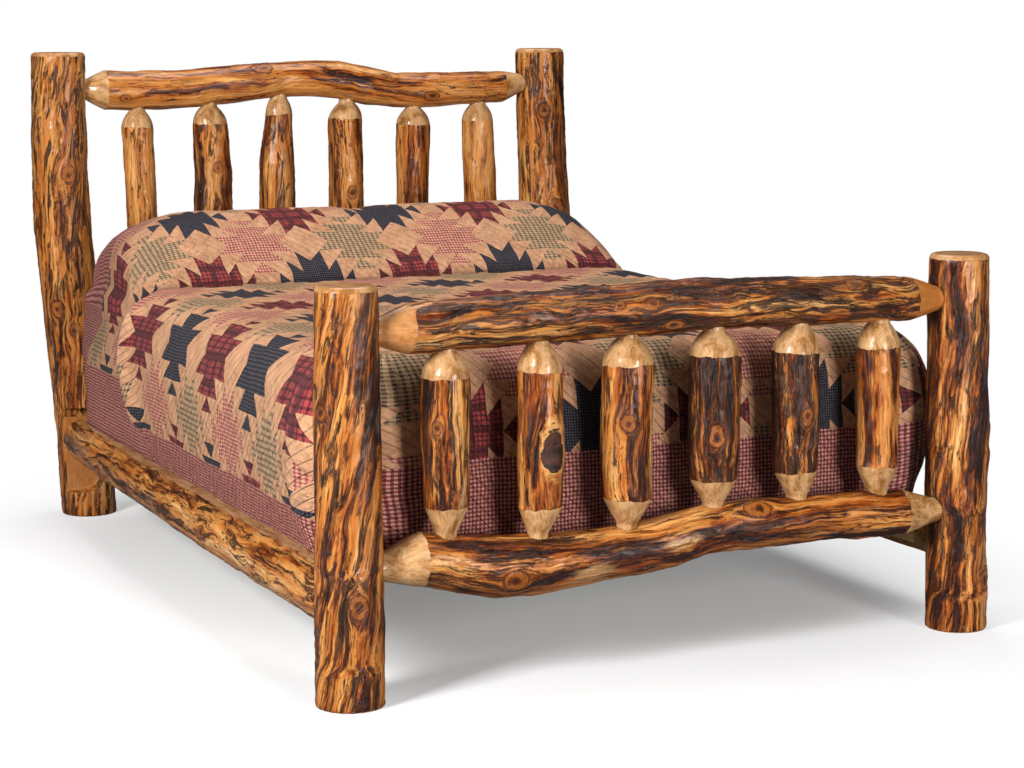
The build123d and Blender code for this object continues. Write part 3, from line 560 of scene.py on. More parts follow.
def makePeeledPine():
    # peeled pine under clear varnish: golden wood with smoky streaks along the grain, black inner bark
    # left in patches, ringed knots and wet highlights
    material, node = newMaterial("varnishedPeeledPine")
    tools, relief = pineTools(node), []  # relief: where the surface rises or sinks, and how far
    colour, broad, lines, lineShade = woodLayers(tools, relief)
    colour, barkMask, ragged = barkLayers(tools, relief, colour, lines)
    colour = knotLayers(tools, relief, colour, lineShade, ragged)
    colour, bareMask = cutLayers(tools, colour, lines, lineShade)
    lineHeight = node("Math", [lines, 0.6], operation="MULTIPLY")
    height = node("Math", [broad, 1.2, lineHeight], operation="MULTIPLY_ADD")
    for mask, rise in relief:
        height = node("Math", [mask, rise, height], operation="MULTIPLY_ADD")
    smoother = node("Math", [1.0, node("Math", [bareMask, 0.88], operation="MULTIPLY")], operation="SUBTRACT")
    height = node("Math", [height, smoother], operation="MULTIPLY")
    bump = node("Bump", {"Strength": 0.8, "Distance": 0.0024, "Height": height})
    glaze = node("Bump", {"Strength": 0.55, "Distance": 0.0024, "Height": height})  # varnish fills the grain
    lineRough = node("Math", [lines, 0.20], operation="MULTIPLY")
    roughness = node("Math", [barkMask, 0.10, lineRough], operation="MULTIPLY_ADD")
    shader = node("BsdfPrincipled", {
        "Base Color": colour, "Roughness": node("Math", [roughness, 0.36], operation="ADD"), "IOR": 1.5,
        "Normal": bump, "Specular IOR Level": 0.08, "Coat Weight": 0.42, "Coat Roughness": 0.08,
        "Coat IOR": 1.5, "Coat Normal": glaze})
    node("OutputMaterial", {"Surface": shader})
    return material


peeledPine = makePeeledPine()
for number, (name, settings) in enumerate(logs.items()):
    buildLog(name, settings, number)
print("logs built")


quiltCut = {
    "step": 0.0125,
    "thickness": 0.008,
    "topHalf": 0.685,         # where the side roll starts
    "footEdge": -0.945,       # where the foot roll starts
    "cornerRadius": 0.10, "cornerFlare": 0.45,  # the foot corners hang in a cone
    "topHeight": 0.7215,      # underside of the quilt on the mattress
    "borderSide": 1.09, "borderFoot": -1.205, "borderHead": 1.13,
    "tuckFront": 0.09, "tuckSide": 0.13, "tuckHem": 0.05,  # cloth pushed in at the pillows: front, ends, hem
    "pullUp": 0.09,                              # how much more cloth the pillows' ends take from the drop
    "endSlant": 0.40,                            # the cloth runs askew over the pillows' ends
    "setBack": 0.040,                            # the drop behind the big fold lies against the mattress
    "drift": 0.047,                              # how far the patchwork turns off the bed's line, per metre
    # over the pillows: where they start, are highest and end, their height, half width and end slopes
    "creaseY": 0.505, "ridgeY": 0.80, "backY": 1.004, "humpHeight": 0.186,
    "humpHalf": 0.73, "humpShoulder": 0.50, "humpSpill": 0.06,
    "swell": (0.006, 0.003), "crinkle": (0.0016, 0.0011),    # each a wide one and a fine one
    "foldFront": 0.032, "foldBack": 0.012, "foldIn": 0.050,  # the big fold beside the pillow
    "hemReach": 0.0815,       # how far out the drop stays, to clear the side rails and the mattress
    "dip": 0.010,             # between the two pillows
    "lean": 0.014,            # of the pillows' fronts, over the crease
}
# Section of the drop beyond the start of the roll: how far out and how far below the top.
sideDrop = [(0.0, 0.0), (0.035, 0.006), (0.075, 0.030), (0.104, 0.070), (0.120, 0.125), (0.127, 0.19),
            (0.125, 0.27), (0.115, 0.34), (0.099, 0.39), (0.087, 0.425), (0.083, 0.459)]
footDrop = [(0.0, 0.0), (0.030, 0.005), (0.062, 0.024), (0.086, 0.058), (0.099, 0.11), (0.104, 0.18),
            (0.103, 0.27), (0.098, 0.34), (0.093, 0.39), (0.090, 0.425), (0.089, 0.459)]


def dropTable(stations):  # the drop's section at even steps along the cloth: distance, out, down
    fine = np.linspace(0, len(stations) - 1, 400)
    out, down = (catmull(fine, np.array([s[c] for s in stations])) for c in (0, 1))
    run = np.concatenate([[0], np.cumsum(np.hypot(np.diff(out), np.diff(down)))])
    return run, out, down


def catmull(where, values):  # a smooth line through the values
    last = len(values) - 1
    i = np.clip(np.floor(where).astype(int), 0, last - 1)
    u = where - i
    a, b, c, d = (values[np.clip(i + k, 0, last)] for k in (-1, 0, 1, 2))
    bend, twist = 2 * a - 5 * b + 4 * c - d, 3 * b - a - 3 * c + d
    return 0.5 * (2 * b + (c - a) * u + bend * u ** 2 + twist * u ** 3)


def humpAt(y):  # height of the pillows' middle above the mattress
    climb = np.clip((y - quiltCut["creaseY"]) / (quiltCut["ridgeY"] - quiltCut["creaseY"]), 0, 1)
    rise = np.sin(climb * math.pi / 2) ** 0.9
    past = np.clip((y - quiltCut["ridgeY"]) / (quiltCut["backY"] - quiltCut["ridgeY"]), 0, 1)
    return quiltCut["humpHeight"] * rise * np.sqrt(1 - past ** 2)


def evenLine(*stops):  # even steps between each two of the stops
    line = []
    for start, end in zip(stops, stops[1:]):
        count = max(1, round((end - start) / quiltCut["step"]))
        line += list(start + (end - start) * np.arange(count) / count)
    return np.array(line + [stops[-1]])


def endFade(width):  # how the pillows' height fades out towards their ends
    start = quiltCut["humpShoulder"]
    past = np.clip((width - start) / (quiltCut["humpHalf"] + quiltCut["humpSpill"] - start), 0, 1)
    return np.sqrt(1 - past ** 2)


def roundCorners(x, y, side, pastSide, pastFoot):  # rounds the foot corners, and says how the drop faces
    cut = quiltCut
    r = cut["cornerRadius"]
    p = np.clip((np.abs(x) - (cut["topHalf"] - r)) / r, 0, 1)
    q = np.clip(((cut["footEdge"] + r) - y) / r, 0, 1)
    inCorner = (p > 0) & (q > 0)
    px, qy = p * np.sqrt(1 - q * q / 2), q * np.sqrt(1 - p * p / 2)
    x = np.where(inCorner, side * (cut["topHalf"] - r + r * px), x)
    y = np.where(inCorner, cut["footEdge"] + r - r * qy, y)
    outX = np.where(inCorner, side * px, np.where(pastSide > 0, side, 0.0))
    outY = np.where(inCorner, -qy, np.where(pastFoot > 0, -1.0, 0.0))
    size = np.maximum(np.hypot(outX, outY), 1e-9)
    square = np.maximum(px ** 2 + qy ** 2, 1e-9)
    footShare = np.where(inCorner, qy ** 2 / square, np.where(pastFoot > 0, 1.0, 0.0))
    flare = np.where(inCorner, 1 + cut["cornerFlare"] * 2 * px * qy / square, 1.0)
    return x, y, outX / size, outY / size, footShare, flare


def dropFolds(x, y, past, side, isSide):  # soft vertical folds, and the big one beside the pillow
    cut = quiltCut
    free = smoothStep(past, 0.08, 0.25) * (1 - smoothStep(past, 0.36, 0.46) * 0.8)
    along = np.where(isSide, y, x)
    swell = cut["swell"][0] * smoothNoise(np.stack([along * 5.5, past * 1.2, side * 3], 1), 21)
    swell += cut["swell"][1] * smoothNoise(np.stack([along * 15, past * 3, side * 3], 1), 22)
    foldAt = cut["creaseY"] - 0.045 * smoothStep(past, 0.0, 0.16) - 0.10 * smoothStep(past, 0.16, 0.46)
    spread = 0.011 + 0.014 * smoothStep(past, 0.22, 0.42)
    fold = cut["foldFront"] * np.exp(-((y - foldAt + 0.042) / 0.030) ** 2)
    fold += cut["foldBack"] * np.exp(-((y - foldAt - 0.09) / 0.05) ** 2)
    fold = fold * (1 - smoothStep(past, 0.36, 0.45)) - cut["foldIn"] * np.exp(-((y - foldAt) / spread) ** 2)
    fold = np.where(isSide, fold * smoothStep(past, 0.02, 0.10), 0)
    behind = smoothStep(y, foldAt - 0.01, foldAt + 0.05) * smoothStep(past, 0.04, 0.14)
    return free * swell + fold - cut["setBack"] * behind * isSide, foldAt


def clothPlace(u, v, y, foldAt, pastSide, pastFoot):  # where each point is on the pieced cloth, laid flat
    # the cloth is tucked in at the crease, and the pillows' ends pull the drop up
    cut, out = quiltCut, np.abs(u)
    tuck = cut["tuckFront"] + (cut["tuckSide"] - cut["tuckFront"]) * smoothStep(pastSide, 0.0, 0.1)
    tuck += (cut["tuckHem"] - cut["tuckSide"]) * smoothStep(pastSide, 0.1, 0.45)
    overPillow = smoothStep(v, foldAt - 0.008, foldAt + 0.010)
    pulled = cut["pullUp"] * np.sign(u) * overPillow * smoothStep(out, 0.60, 1.0)
    askew = cut["endSlant"] * smoothStep(out, 0.45, 0.70) * (1 - smoothStep(out, 0.80, 1.0))
    askew = askew * smoothStep(y, 0.72, 0.95)
    drift = cut["drift"] * (0.75 - v) * (1 - smoothStep(out, 0.70, 0.95))
    sag = 0.02 * smoothStep(pastFoot, 0.0, 0.1)
    return np.stack([u - drift + pulled, v + (tuck + askew) * overPillow + sag], 1)


def clothMesh(xyz, flatUv, shape, cornerCut):  # quads, leaving out the two cut-away foot corners of the cloth
    index = np.arange(shape[0] * shape[1]).reshape(shape)
    quads = np.stack([index[:-1, :-1], index[1:, :-1], index[1:, 1:], index[:-1, 1:]], -1).reshape(-1, 4)
    quads = quads[~cornerCut[quads].any(1)]
    used = np.unique(quads)
    number = np.full(len(xyz), -1)
    number[used] = np.arange(len(used))
    mesh = bpy.data.meshes.new("quilt_top")
    mesh.from_pydata(xyz[used].tolist(), [], number[quads].tolist())
    layer = mesh.uv_layers.new(name="cloth")
    corners = np.empty(len(mesh.loops), np.int64)
    mesh.loops.foreach_get("vertex_index", corners)
    layer.data.foreach_set("uv", flatUv[used][corners].astype(np.float32).ravel())
    return mesh


def buildQuilt():
    cut = quiltCut
    # cloth length along the bed, over the pillows
    ys = np.linspace(cut["footEdge"], cut["backY"], 1200)
    run = np.concatenate([[0], np.cumsum(np.hypot(np.diff(ys), np.diff(humpAt(ys))))]) + cut["footEdge"]
    sideRun, sideOut, sideDown = dropTable(sideDrop)
    footRun, footOut, footDown = dropTable(footDrop)
    halfWidth, footEnd, headEnd = cut["topHalf"] + sideRun[-1], cut["footEdge"] - footRun[-1], run[-1]
    us = evenLine(-halfWidth, -cut["topHalf"], cut["topHalf"], halfWidth)
    vs = evenLine(footEnd, cut["footEdge"], headEnd)
    gridU, gridV = np.meshgrid(us, vs, indexing="ij")
    u, v = gridU.ravel(), gridV.ravel()
    pastSide = np.maximum(np.abs(u) - cut["topHalf"], 0)
    pastFoot = np.maximum(cut["footEdge"] - v, 0)
    side = np.sign(u)
    past = pastSide + pastFoot
    # plan place of the cloth's inner part, then how far out and down the drop is
    x = np.clip(u, -cut["topHalf"], cut["topHalf"])
    y = np.interp(np.maximum(v, cut["footEdge"]), run, ys)
    x, y, outX, outY, footShare, flare = roundCorners(x, y, side, pastSide, pastFoot)
    out, down = (
        (1 - footShare) * np.interp(past, sideRun, sideWay) + footShare * np.interp(past, footRun, footWay)
        for sideWay, footWay in ((sideOut, footOut), (sideDown, footDown)))
    out = out * flare
    # pillows under the cloth, fading towards their ends and down the drop
    width = np.abs(x) + out * np.abs(outX)
    pillowRise = humpAt(y) / cut["humpHeight"]
    hump = humpAt(y) * endFade(width) * (1 - smoothStep(past, 0.10, 0.20))
    hump -= cut["dip"] * np.exp(-((x / 0.05) ** 2)) * pillowRise  # dip between the two pillows
    z = cut["topHeight"] - down + hump
    # the pillows' fronts lean over the crease
    y = y - cut["lean"] * np.exp(-((pillowRise - 0.16) / 0.12) ** 2) * (pastFoot == 0)
    folds, foldAt = dropFolds(x, y, past, side, pastSide > 0)
    outward = out + folds
    outward = np.where((pastSide > 0) & (down > 0.06), np.maximum(outward, cut["hemReach"]), outward)
    xyz = np.stack([x + outX * outward, y + outY * outward, z], 1)
    # crinkle of washed, quilted cloth
    crinkle = cut["crinkle"][0] * smoothNoise(np.stack([u * 24, v * 24, 0 * u], 1), 31)
    crinkle += cut["crinkle"][1] * smoothNoise(np.stack([u * 55, v * 55, 0 * u], 1), 32)
    steep = smoothStep(past, 0, 0.1)
    normal = np.stack([outX * steep, outY * steep, 1 - smoothStep(past, 0, 0.12)], 1)
    xyz += normal * crinkle[:, None]

    cornerCut = (pastSide > 1e-6) & (pastFoot > 1e-6)
    mesh = clothMesh(xyz, clothPlace(u, v, y, foldAt, pastSide, pastFoot), gridU.shape, cornerCut)
    quilt = newObject("patchwork_quilt", mesh)
    thick = quilt.modifiers.new("wadding", "SOLIDIFY")
    thick.thickness, thick.offset, thick.use_rim = cut["thickness"], 1.0, True
    applyModifiers(quilt)
    quilt.data.shade_smooth()
    quilt.data.materials.append(makePatchwork())
    handOver(quilt, "mattress", "quilt_cotton", "quilt")
    width, length = 2 * halfWidth, headEnd - footEnd
    print("quilt cut", round(width, 3), "x", round(length, 3))


patchwork = {
    "pitchAcross": 0.302, "pitchAlong": 0.291, "startAcross": 0.06, "startAlong": 0.31,
    "ground": "e2ab82", "groundDark": "cd966f", "speck": "96613f",
    # woven checks: pitch across and along in metres, share of light thread, then dark, mixed and light
    "navy": (0.0066, 0.0066, 0.0, "1a171e", "28252e", "5a545c"),
    "red": (0.0115, 0.0115, -0.5, "3a1a1e", "742a2c", "a94443"),
    "pink": (0.0096, 0.0096, 0.0, "984043", "c47a69", "e3b18f"),
    "sage": (0.0150, 0.0084, -0.3, "4a3c30", "9e8162", "cba57c"),
    "border": (0.0096, 0.0096, -0.1, "60262b", "a05350", "dca08c"),
    "bandPitch": 0.050, "stitchPitch": 0.056, "weavePitch": 0.0016,
}


def starPattern(node, u, v):  # where the stars and the patches between them are, and which are odd ones
    def repeat(shift):  # place across and along in eighths of the repeat, -4 to 4, and if it's an odd one
        places, cells = [], []
        for value, way in ((u, "Across"), (v, "Along")):
            pitch = patchwork["pitch" + way]
            begun = node("Math", [value, patchwork["start" + way] - shift * pitch], operation="SUBTRACT")
            scaled = node("Math", [begun, 8 / pitch], operation="MULTIPLY")
            centred = node("Math", [scaled, 0.125, 0.5], operation="MULTIPLY_ADD")
            cells.append(node("Math", [centred], operation="FLOOR"))
            places.append(node("Math", [cells[-1], -8.0, scaled], operation="MULTIPLY_ADD"))
        return places, node("Math", [node("Math", cells, operation="ADD"), 1.0], operation="PINGPONG")

    def starAt(across, along):  # stepped star of half-square triangles: its column, flared band and loose tip
        wide, tall = (node("Math", [value], operation="ABSOLUTE") for value in (across, along))
        column = node("Math", [wide], operation="FLOOR")
        raised = node("Math", [wide, 2.0], operation="ADD")
        limit = node("Math", [column, -2.0, raised], operation="MULTIPLY_ADD")
        within = [node("Math", pair, operation="LESS_THAN") for pair in ([wide, 3.0], [tall, limit])]
        return node("Math", within, operation="MULTIPLY")

    (x, y), starOdd = repeat(0)
    (x2, y2), patchOdd = repeat(0.5)
    return starAt(x, y), starOdd, starAt(y2, x2), patchOdd


def wovenCheck(node, u, v, name):  # warp and weft of two shades cross: dark, mixed and light squares
    across, along, share, dark, mixed, light = patchwork[name]
    waves = (addWave(node, u, across), addWave(node, v, along))
    threads = node("Math", [node("Math", [thread, share], operation="GREATER_THAN") for thread in waves])
    threads = node("Math", [threads, 0.5], operation="MULTIPLY")
    return node("ValToRGB", {"Fac": threads}, stops=[(0.0, dark), (0.5, mixed), (1.0, light)])


def makePatchwork():
    # washed cotton patchwork, quilted by hand: dull woven checks, soft crinkle, hardly any shine
    material, node = newMaterial("washedPatchworkCotton")
    layer, wave = partial(addLayer, node), partial(addWave, node)
    shades = {name: linearColour(patchwork[name]) for name in ("ground", "groundDark", "speck")}
    cloth = node("UVMap", uv_map="cloth")
    wander = node("TexNoise", {"Vector": cloth, "Scale": 9.0, "Detail": 2.0})
    wanderOff = node("VectorMath", [wander.outputs["Color"], (0.5, 0.5, 0.5)], operation="SUBTRACT")
    wanderBy = node("VectorMath", [wanderOff, (0.012, 0.012, 0.0)], operation="MULTIPLY")
    split = node("SeparateXYZ", [node("VectorMath", [cloth, wanderBy], operation="ADD")])
    u, v = split.outputs[0], split.outputs[1]
    starMask, starOdd, patchMask, patchOdd = starPattern(node, u, v)
    speckle = node("TexNoise", {"Vector": cloth, "Scale": 480.0, "Detail": 2.0})
    soft = node("TexNoise", {"Vector": cloth, "Scale": 16.0, "Detail": 4.0, "Roughness": 0.6})
    pucker = node("TexNoise", {
        "Vector": cloth, "Scale": 52.0, "Detail": 3.0, "Roughness": 0.55, "Distortion": 0.9})
    ground = layer(shades["groundDark"], shades["ground"], node("MapRange", [soft, 0.35, 0.65]))
    ground = layer(ground, shades["speck"], node("Math", [speckle, 0.60], operation="GREATER_THAN"), 0.45)
    navy, red, pink, sage, border = (
        wovenCheck(node, u, v, name) for name in ("navy", "red", "pink", "sage", "border"))
    bands = [node("Math", [thread, edge], operation="GREATER_THAN") for thread, edge in (
        (wave(v, patchwork["bandPitch"]), 0.45), (wave(u, patchwork["bandPitch"], 1.0), 0.6))]
    red = layer(red, linearColour(patchwork["red"][3]), node("Math", bands, operation="MAXIMUM"), 0.7)
    colour = layer(ground, layer(sage, pink, patchOdd), patchMask)
    colour = layer(colour, layer(navy, red, starOdd), starMask)
    fromMiddle = node("Math", [u], operation="ABSOLUTE")
    inside = node("Math", [fromMiddle, quiltCut["borderSide"]], operation="LESS_THAN")
    for edge, test in ((quiltCut["borderFoot"], "GREATER_THAN"), (quiltCut["borderHead"], "LESS_THAN")):
        inside = node("Math", [inside, node("Math", [v, edge], operation=test)], operation="MULTIPLY")
    colour = layer(border, colour, inside)
    # painted shade: the cloth's colour is darkened in the hollows of the puckers, where the pucker noise
    # sinks
    paintedPuckerShade = node("ValToRGB", {"Fac": pucker}, stops=[(0.38, 0.76), (0.50, 1.0)])
    colour = layer(colour, paintedPuckerShade, 0.9, kind="MULTIPLY")

    # puckers drawn in by diagonal rows of quilting stitches, about 20 mm apart
    rows = wave(node("Math", [u, v], operation="ADD"), patchwork["stitchPitch"])
    channel = node("MapRange", [node("Math", [rows], operation="ABSOLUTE"), 0.0, 0.35])
    pitch = patchwork["weavePitch"]
    weave = node("Math", [wave(u, pitch), wave(v, pitch)], operation="MULTIPLY")
    height = node("Math", [channel, 0.35, pucker], operation="MULTIPLY_ADD")
    height = node("Math", [weave, 0.03, height], operation="MULTIPLY_ADD")
    bump = node("Bump", {"Strength": 1.0, "Distance": 0.018, "Height": height})
    shader = node("BsdfPrincipled", {
        "Base Color": colour, "Roughness": 0.92, "Normal": bump, "Sheen Weight": 0.04, "Sheen Roughness": 0.5,
        "Specular IOR Level": 0.15})
    node("OutputMaterial", {"Surface": shader})
    return material


buildQuilt()
print("quilt built")


padWork = {
    "pillowVoxel": 0.010, "pillowPressure": 4.0, "pillowCap": 0.014, "frames": 20,
    "pillowShrink": 0.93, "underQuilt": 0.004,
    "endPinch": 3.2, "sidePinch": 2.4,       # the higher, the later a pillow thins towards its edge
    "drawIn": 0.06, "squash": 0.94, "lift": 0.002, "leastLift": 0.001,
    "wrinkle": 0.0015, "wrinkleFine": 14,
    "mattressVoxel": 0.014, "tuftPitch": 0.11, "tuftDepth": 0.007,
    "foundationVoxel": 0.014, "panelPitch": 0.35, "panelPull": 0.005, "stripePitch": 0.02,
}


def quiltUnderside(points):  # how high the quilt's underside is over each point of the bed
    return quiltCut["topHeight"] + humpAt(points[:, 1]) * endFade(np.abs(points[:, 0]))


def remeshed(node, name, voxel):  # a CAD node's form as an even mesh
    piece = mergedCopy(node, name)
    remesh = piece.modifiers.new("weave", "REMESH")
    remesh.mode, remesh.voxel_size = "VOXEL", voxel
    return applyModifiers(piece)


def plump(piece, cap):  # blows the cover up from inside, as wadding does
    before = meshPoints(piece.data)
    cover = piece.modifiers.new("cover", "CLOTH")
    cover.settings.quality = 4
    cover.settings.use_pressure = True
    cover.settings.uniform_pressure_force = padWork["pillowPressure"]
    cover.settings.effector_weights.gravity = 0.0
    cover.point_cache.frame_start, cover.point_cache.frame_end = 1, padWork["frames"]
    for frameNumber in range(1, padWork["frames"] + 1):
        bpy.context.scene.frame_set(frameNumber)
    applyModifiers(piece)
    bpy.context.scene.frame_set(1)
    moved = meshPoints(piece.data) - before
    length = np.maximum(np.linalg.norm(moved, axis=1), 1e-9)
    movePoints(piece.data, before + moved * np.minimum(1, cap / length)[:, None])


def buildPillow(node):
    pillow = remeshed(node, node + "_feather", padWork["pillowVoxel"])
    points = meshPoints(pillow.data)
    low, high = points.min(0), points.max(0)
    middle, half = (low + high) / 2, (high - low) / 2
    a, b = ((points[:, k] - middle[k]) / half[k] for k in (0, 1))
    pinch = np.sqrt(np.clip(1 - np.abs(a) ** padWork["endPinch"], 0.02, 1))
    pinch = pinch * np.sqrt(np.clip(1 - np.abs(b) ** padWork["sidePinch"], 0.02, 1))
    # long sides drawn in between the corners
    pull = 1 - padWork["drawIn"] * (1 - np.abs(a) ** 2) * np.abs(b) ** 4
    points[:, 0] = middle[0] + (points[:, 0] - middle[0]) * padWork["pillowShrink"]
    points[:, 1] = middle[1] + (points[:, 1] - middle[1]) * padWork["pillowShrink"] * pull
    lift = (points[:, 2] - low[2]) * pinch
    points[:, 2] = low[2] + padWork["lift"] + lift * padWork["squash"]
    movePoints(pillow.data, points)
    plump(pillow, padWork["pillowCap"])
    points = meshPoints(pillow.data)
    lowest, highest = low[2] + padWork["leastLift"], quiltUnderside(points) - padWork["underQuilt"]
    points[:, 2] = np.clip(points[:, 2], lowest, highest)
    movePoints(pillow.data, points)
    rounding = pillow.modifiers.new("rounding", "SUBSURF")
    rounding.levels = rounding.render_levels = 1
    applyModifiers(pillow)
    pillow.data.shade_smooth()
    pillow.data.materials.append(ticking)
    handOver(pillow, "mattress", "pillow_cotton", node)


def buildPad(node, body, voxel, depth, pitch):  # mattress or foundation, its panels pulled in by stitching
    pad = remeshed(node, node + "_padded", voxel)
    points, normals = meshPoints(pad.data), meshNormals(pad.data)
    low, high = points.min(0), points.max(0)
    tuft = np.abs(np.sin(points[:, 0] * math.pi / pitch) * np.sin(points[:, 1] * math.pi / pitch)) ** 0.5
    level = smoothStep(np.abs(normals[:, 2]), 0.8, 0.97)
    side = 1 - level
    edge = np.minimum(points[:, 2] - low[2], high[2] - points[:, 2]) / (high[2] - low[2])
    pull = level * depth * (1 - tuft) + side * depth * (1 - smoothStep(edge, 0.0, 0.25))
    pull += padWork["wrinkle"] * (1 + smoothNoise(points * padWork["wrinkleFine"], 41))
    movePoints(pad.data, points - normals * pull[:, None])
    pad.data.shade_smooth()
    pad.data.materials.append(ticking)
    handOver(pad, body, "ticking", node)


def makeTicking():
    # woven cotton ticking: off-white with fine blue-grey stripes, matt
    material, node = newMaterial("stripedTicking")
    place = node("TexCoord").outputs["Object"]
    facing = node("TexCoord").outputs["Normal"]
    split = node("SeparateXYZ", [place])
    sideways = node("Math", [node("SeparateXYZ", [facing]).outputs[0]], operation="ABSOLUTE")
    onSide = node("Math", [sideways, 0.7], operation="GREATER_THAN")
    across = node("Mix", {0: onSide, 2: split.outputs[0], 3: split.outputs[1]}, data_type="FLOAT")
    stripe = addWave(node, across, padWork["stripePitch"])
    colour = node("ValToRGB", {"Fac": stripe}, stops=[(0.80, "c9c0ab"), (0.90, "66788c")])
    weave = node("TexNoise", {"Vector": place, "Scale": 700.0, "Detail": 2.0})
    bump = node("Bump", {"Strength": 0.35, "Distance": 0.001, "Height": weave})
    shader = node("BsdfPrincipled", {"Base Color": colour, "Roughness": 0.9, "Normal": bump})
    node("OutputMaterial", {"Surface": shader})
    return material


ticking = makeTicking()
buildPillow("pillow_left")
buildPillow("pillow_right")
buildPad("mattress", "mattress", padWork["mattressVoxel"], padWork["tuftDepth"], padWork["tuftPitch"])
buildPad("foundation", "foundation", padWork["foundationVoxel"], padWork["panelPull"], padWork["panelPitch"])
print("pillows, mattress and foundation built")


boardWork = {
    "slatEdge": 0.0025, "ledgerEdge": 0.003,  # rounded edges left by the planer
    "warp": 0.0006, "seed": 7,
}
screwWork = {
    "headRadius": 0.0046, "headDepth": 0.0023, "shankRadius": 0.0022, "recessWidth": 0.0012, "proud": 0.0003,
}
tapeWork = {
    "radius": 0.0055, "stitchPitch": 0.009, "stitchLength": 0.0028, "stitchWidth": 0.0007,
    # body, corner radius, then how far each edge's tape lies in from the side and from the top or bottom
    "mattress": ("mattress", 0.075, (0.0265, 0.0245), (0.0150, 0.0135)),
    "foundation": ("foundation", 0.080, (0.0085, 0.0075), (0.0085, 0.0075)),
}


def makeSawnPine():
    # planed pine boards, unfinished: straw wood with grain lines 4 mm apart and small red-brown knots, dull
    material, node = newMaterial("planedPine")
    board = node("Attribute", attribute_name="boardPlace").outputs["Vector"]
    scaled = node("VectorMath", [board, (2.4, 55.0, 55.0)], operation="MULTIPLY")
    lines = node("TexNoise", {
        "Vector": scaled, "Scale": 1.0, "Detail": 8.0, "Roughness": 0.65, "Distortion": 0.6})
    broad = node("TexNoise", {"Vector": board, "Scale": 3.0, "Detail": 3.0})
    colour = node("ValToRGB", {"Fac": lines}, stops=[
        (0.36, "a9773f"), (0.47, "d2a86f"), (0.62, "e6cb9a")])
    tone = node("ValToRGB", {"Fac": broad}, stops=[(0.35, "d8c2a0"), (0.6, "ffffff")])
    colour = addLayer(node, colour, tone, 0.8, kind="MULTIPLY")
    stretched = node("VectorMath", [board, (5.0, 11.0, 3.0)], operation="MULTIPLY")
    spots = node("TexVoronoi", {"Vector": stretched, "Scale": 1.0})
    knot = node("ValToRGB", {"Fac": spots.outputs["Distance"]}, stops=[
        (0.05, 1.0), (0.075, 0.55), (0.10, 0.0)])
    colour = addLayer(node, colour, linearColour("5e3216"), knot)
    bump = node("Bump", {"Strength": 0.35, "Distance": 0.001, "Height": lines})
    shader = node("BsdfPrincipled", {"Base Color": colour, "Roughness": 0.62, "Normal": bump})
    node("OutputMaterial", {"Surface": shader})
    return material


def makeSteel():
    # zinc-plated steel: grey, blotched, satin
    material, node = newMaterial("zincPlatedSteel")
    place = node("TexCoord").outputs["Object"]
    spots = node("TexNoise", {"Vector": place, "Scale": 260.0, "Detail": 4.0})
    colour = node("ValToRGB", {"Fac": spots}, stops=[(0.35, "8e9090"), (0.6, "b9bbb8")])
    rough = node("MapRange", {0: spots, 3: 0.28, 4: 0.46})
    bump = node("Bump", {"Strength": 0.2, "Distance": 0.0005, "Height": spots})
    shader = node("BsdfPrincipled", {
        "Base Color": colour, "Metallic": 1.0, "Roughness": rough, "Normal": bump})
    node("OutputMaterial", {"Surface": shader})
    return material


def makeTape():
    # woven twill binding tape: grey-blue, ribbed 2 mm, matt
    material, node = newMaterial("bindingTape")
    place = node("TexCoord").outputs["Object"]
    ribs = node("TexNoise", {"Vector": place, "Scale": 520.0, "Detail": 2.0})
    colour = node("ValToRGB", {"Fac": ribs}, stops=[(0.4, "6f7a86"), (0.6, "97a1ab")])
    bump = node("Bump", {"Strength": 0.4, "Distance": 0.001, "Height": ribs})
    shader = node("BsdfPrincipled", {"Base Color": colour, "Roughness": 0.85, "Normal": bump})
    node("OutputMaterial", {"Surface": shader})
    return material


planedPine, zincSteel, twillTape = makeSawnPine(), makeSteel(), makeTape()


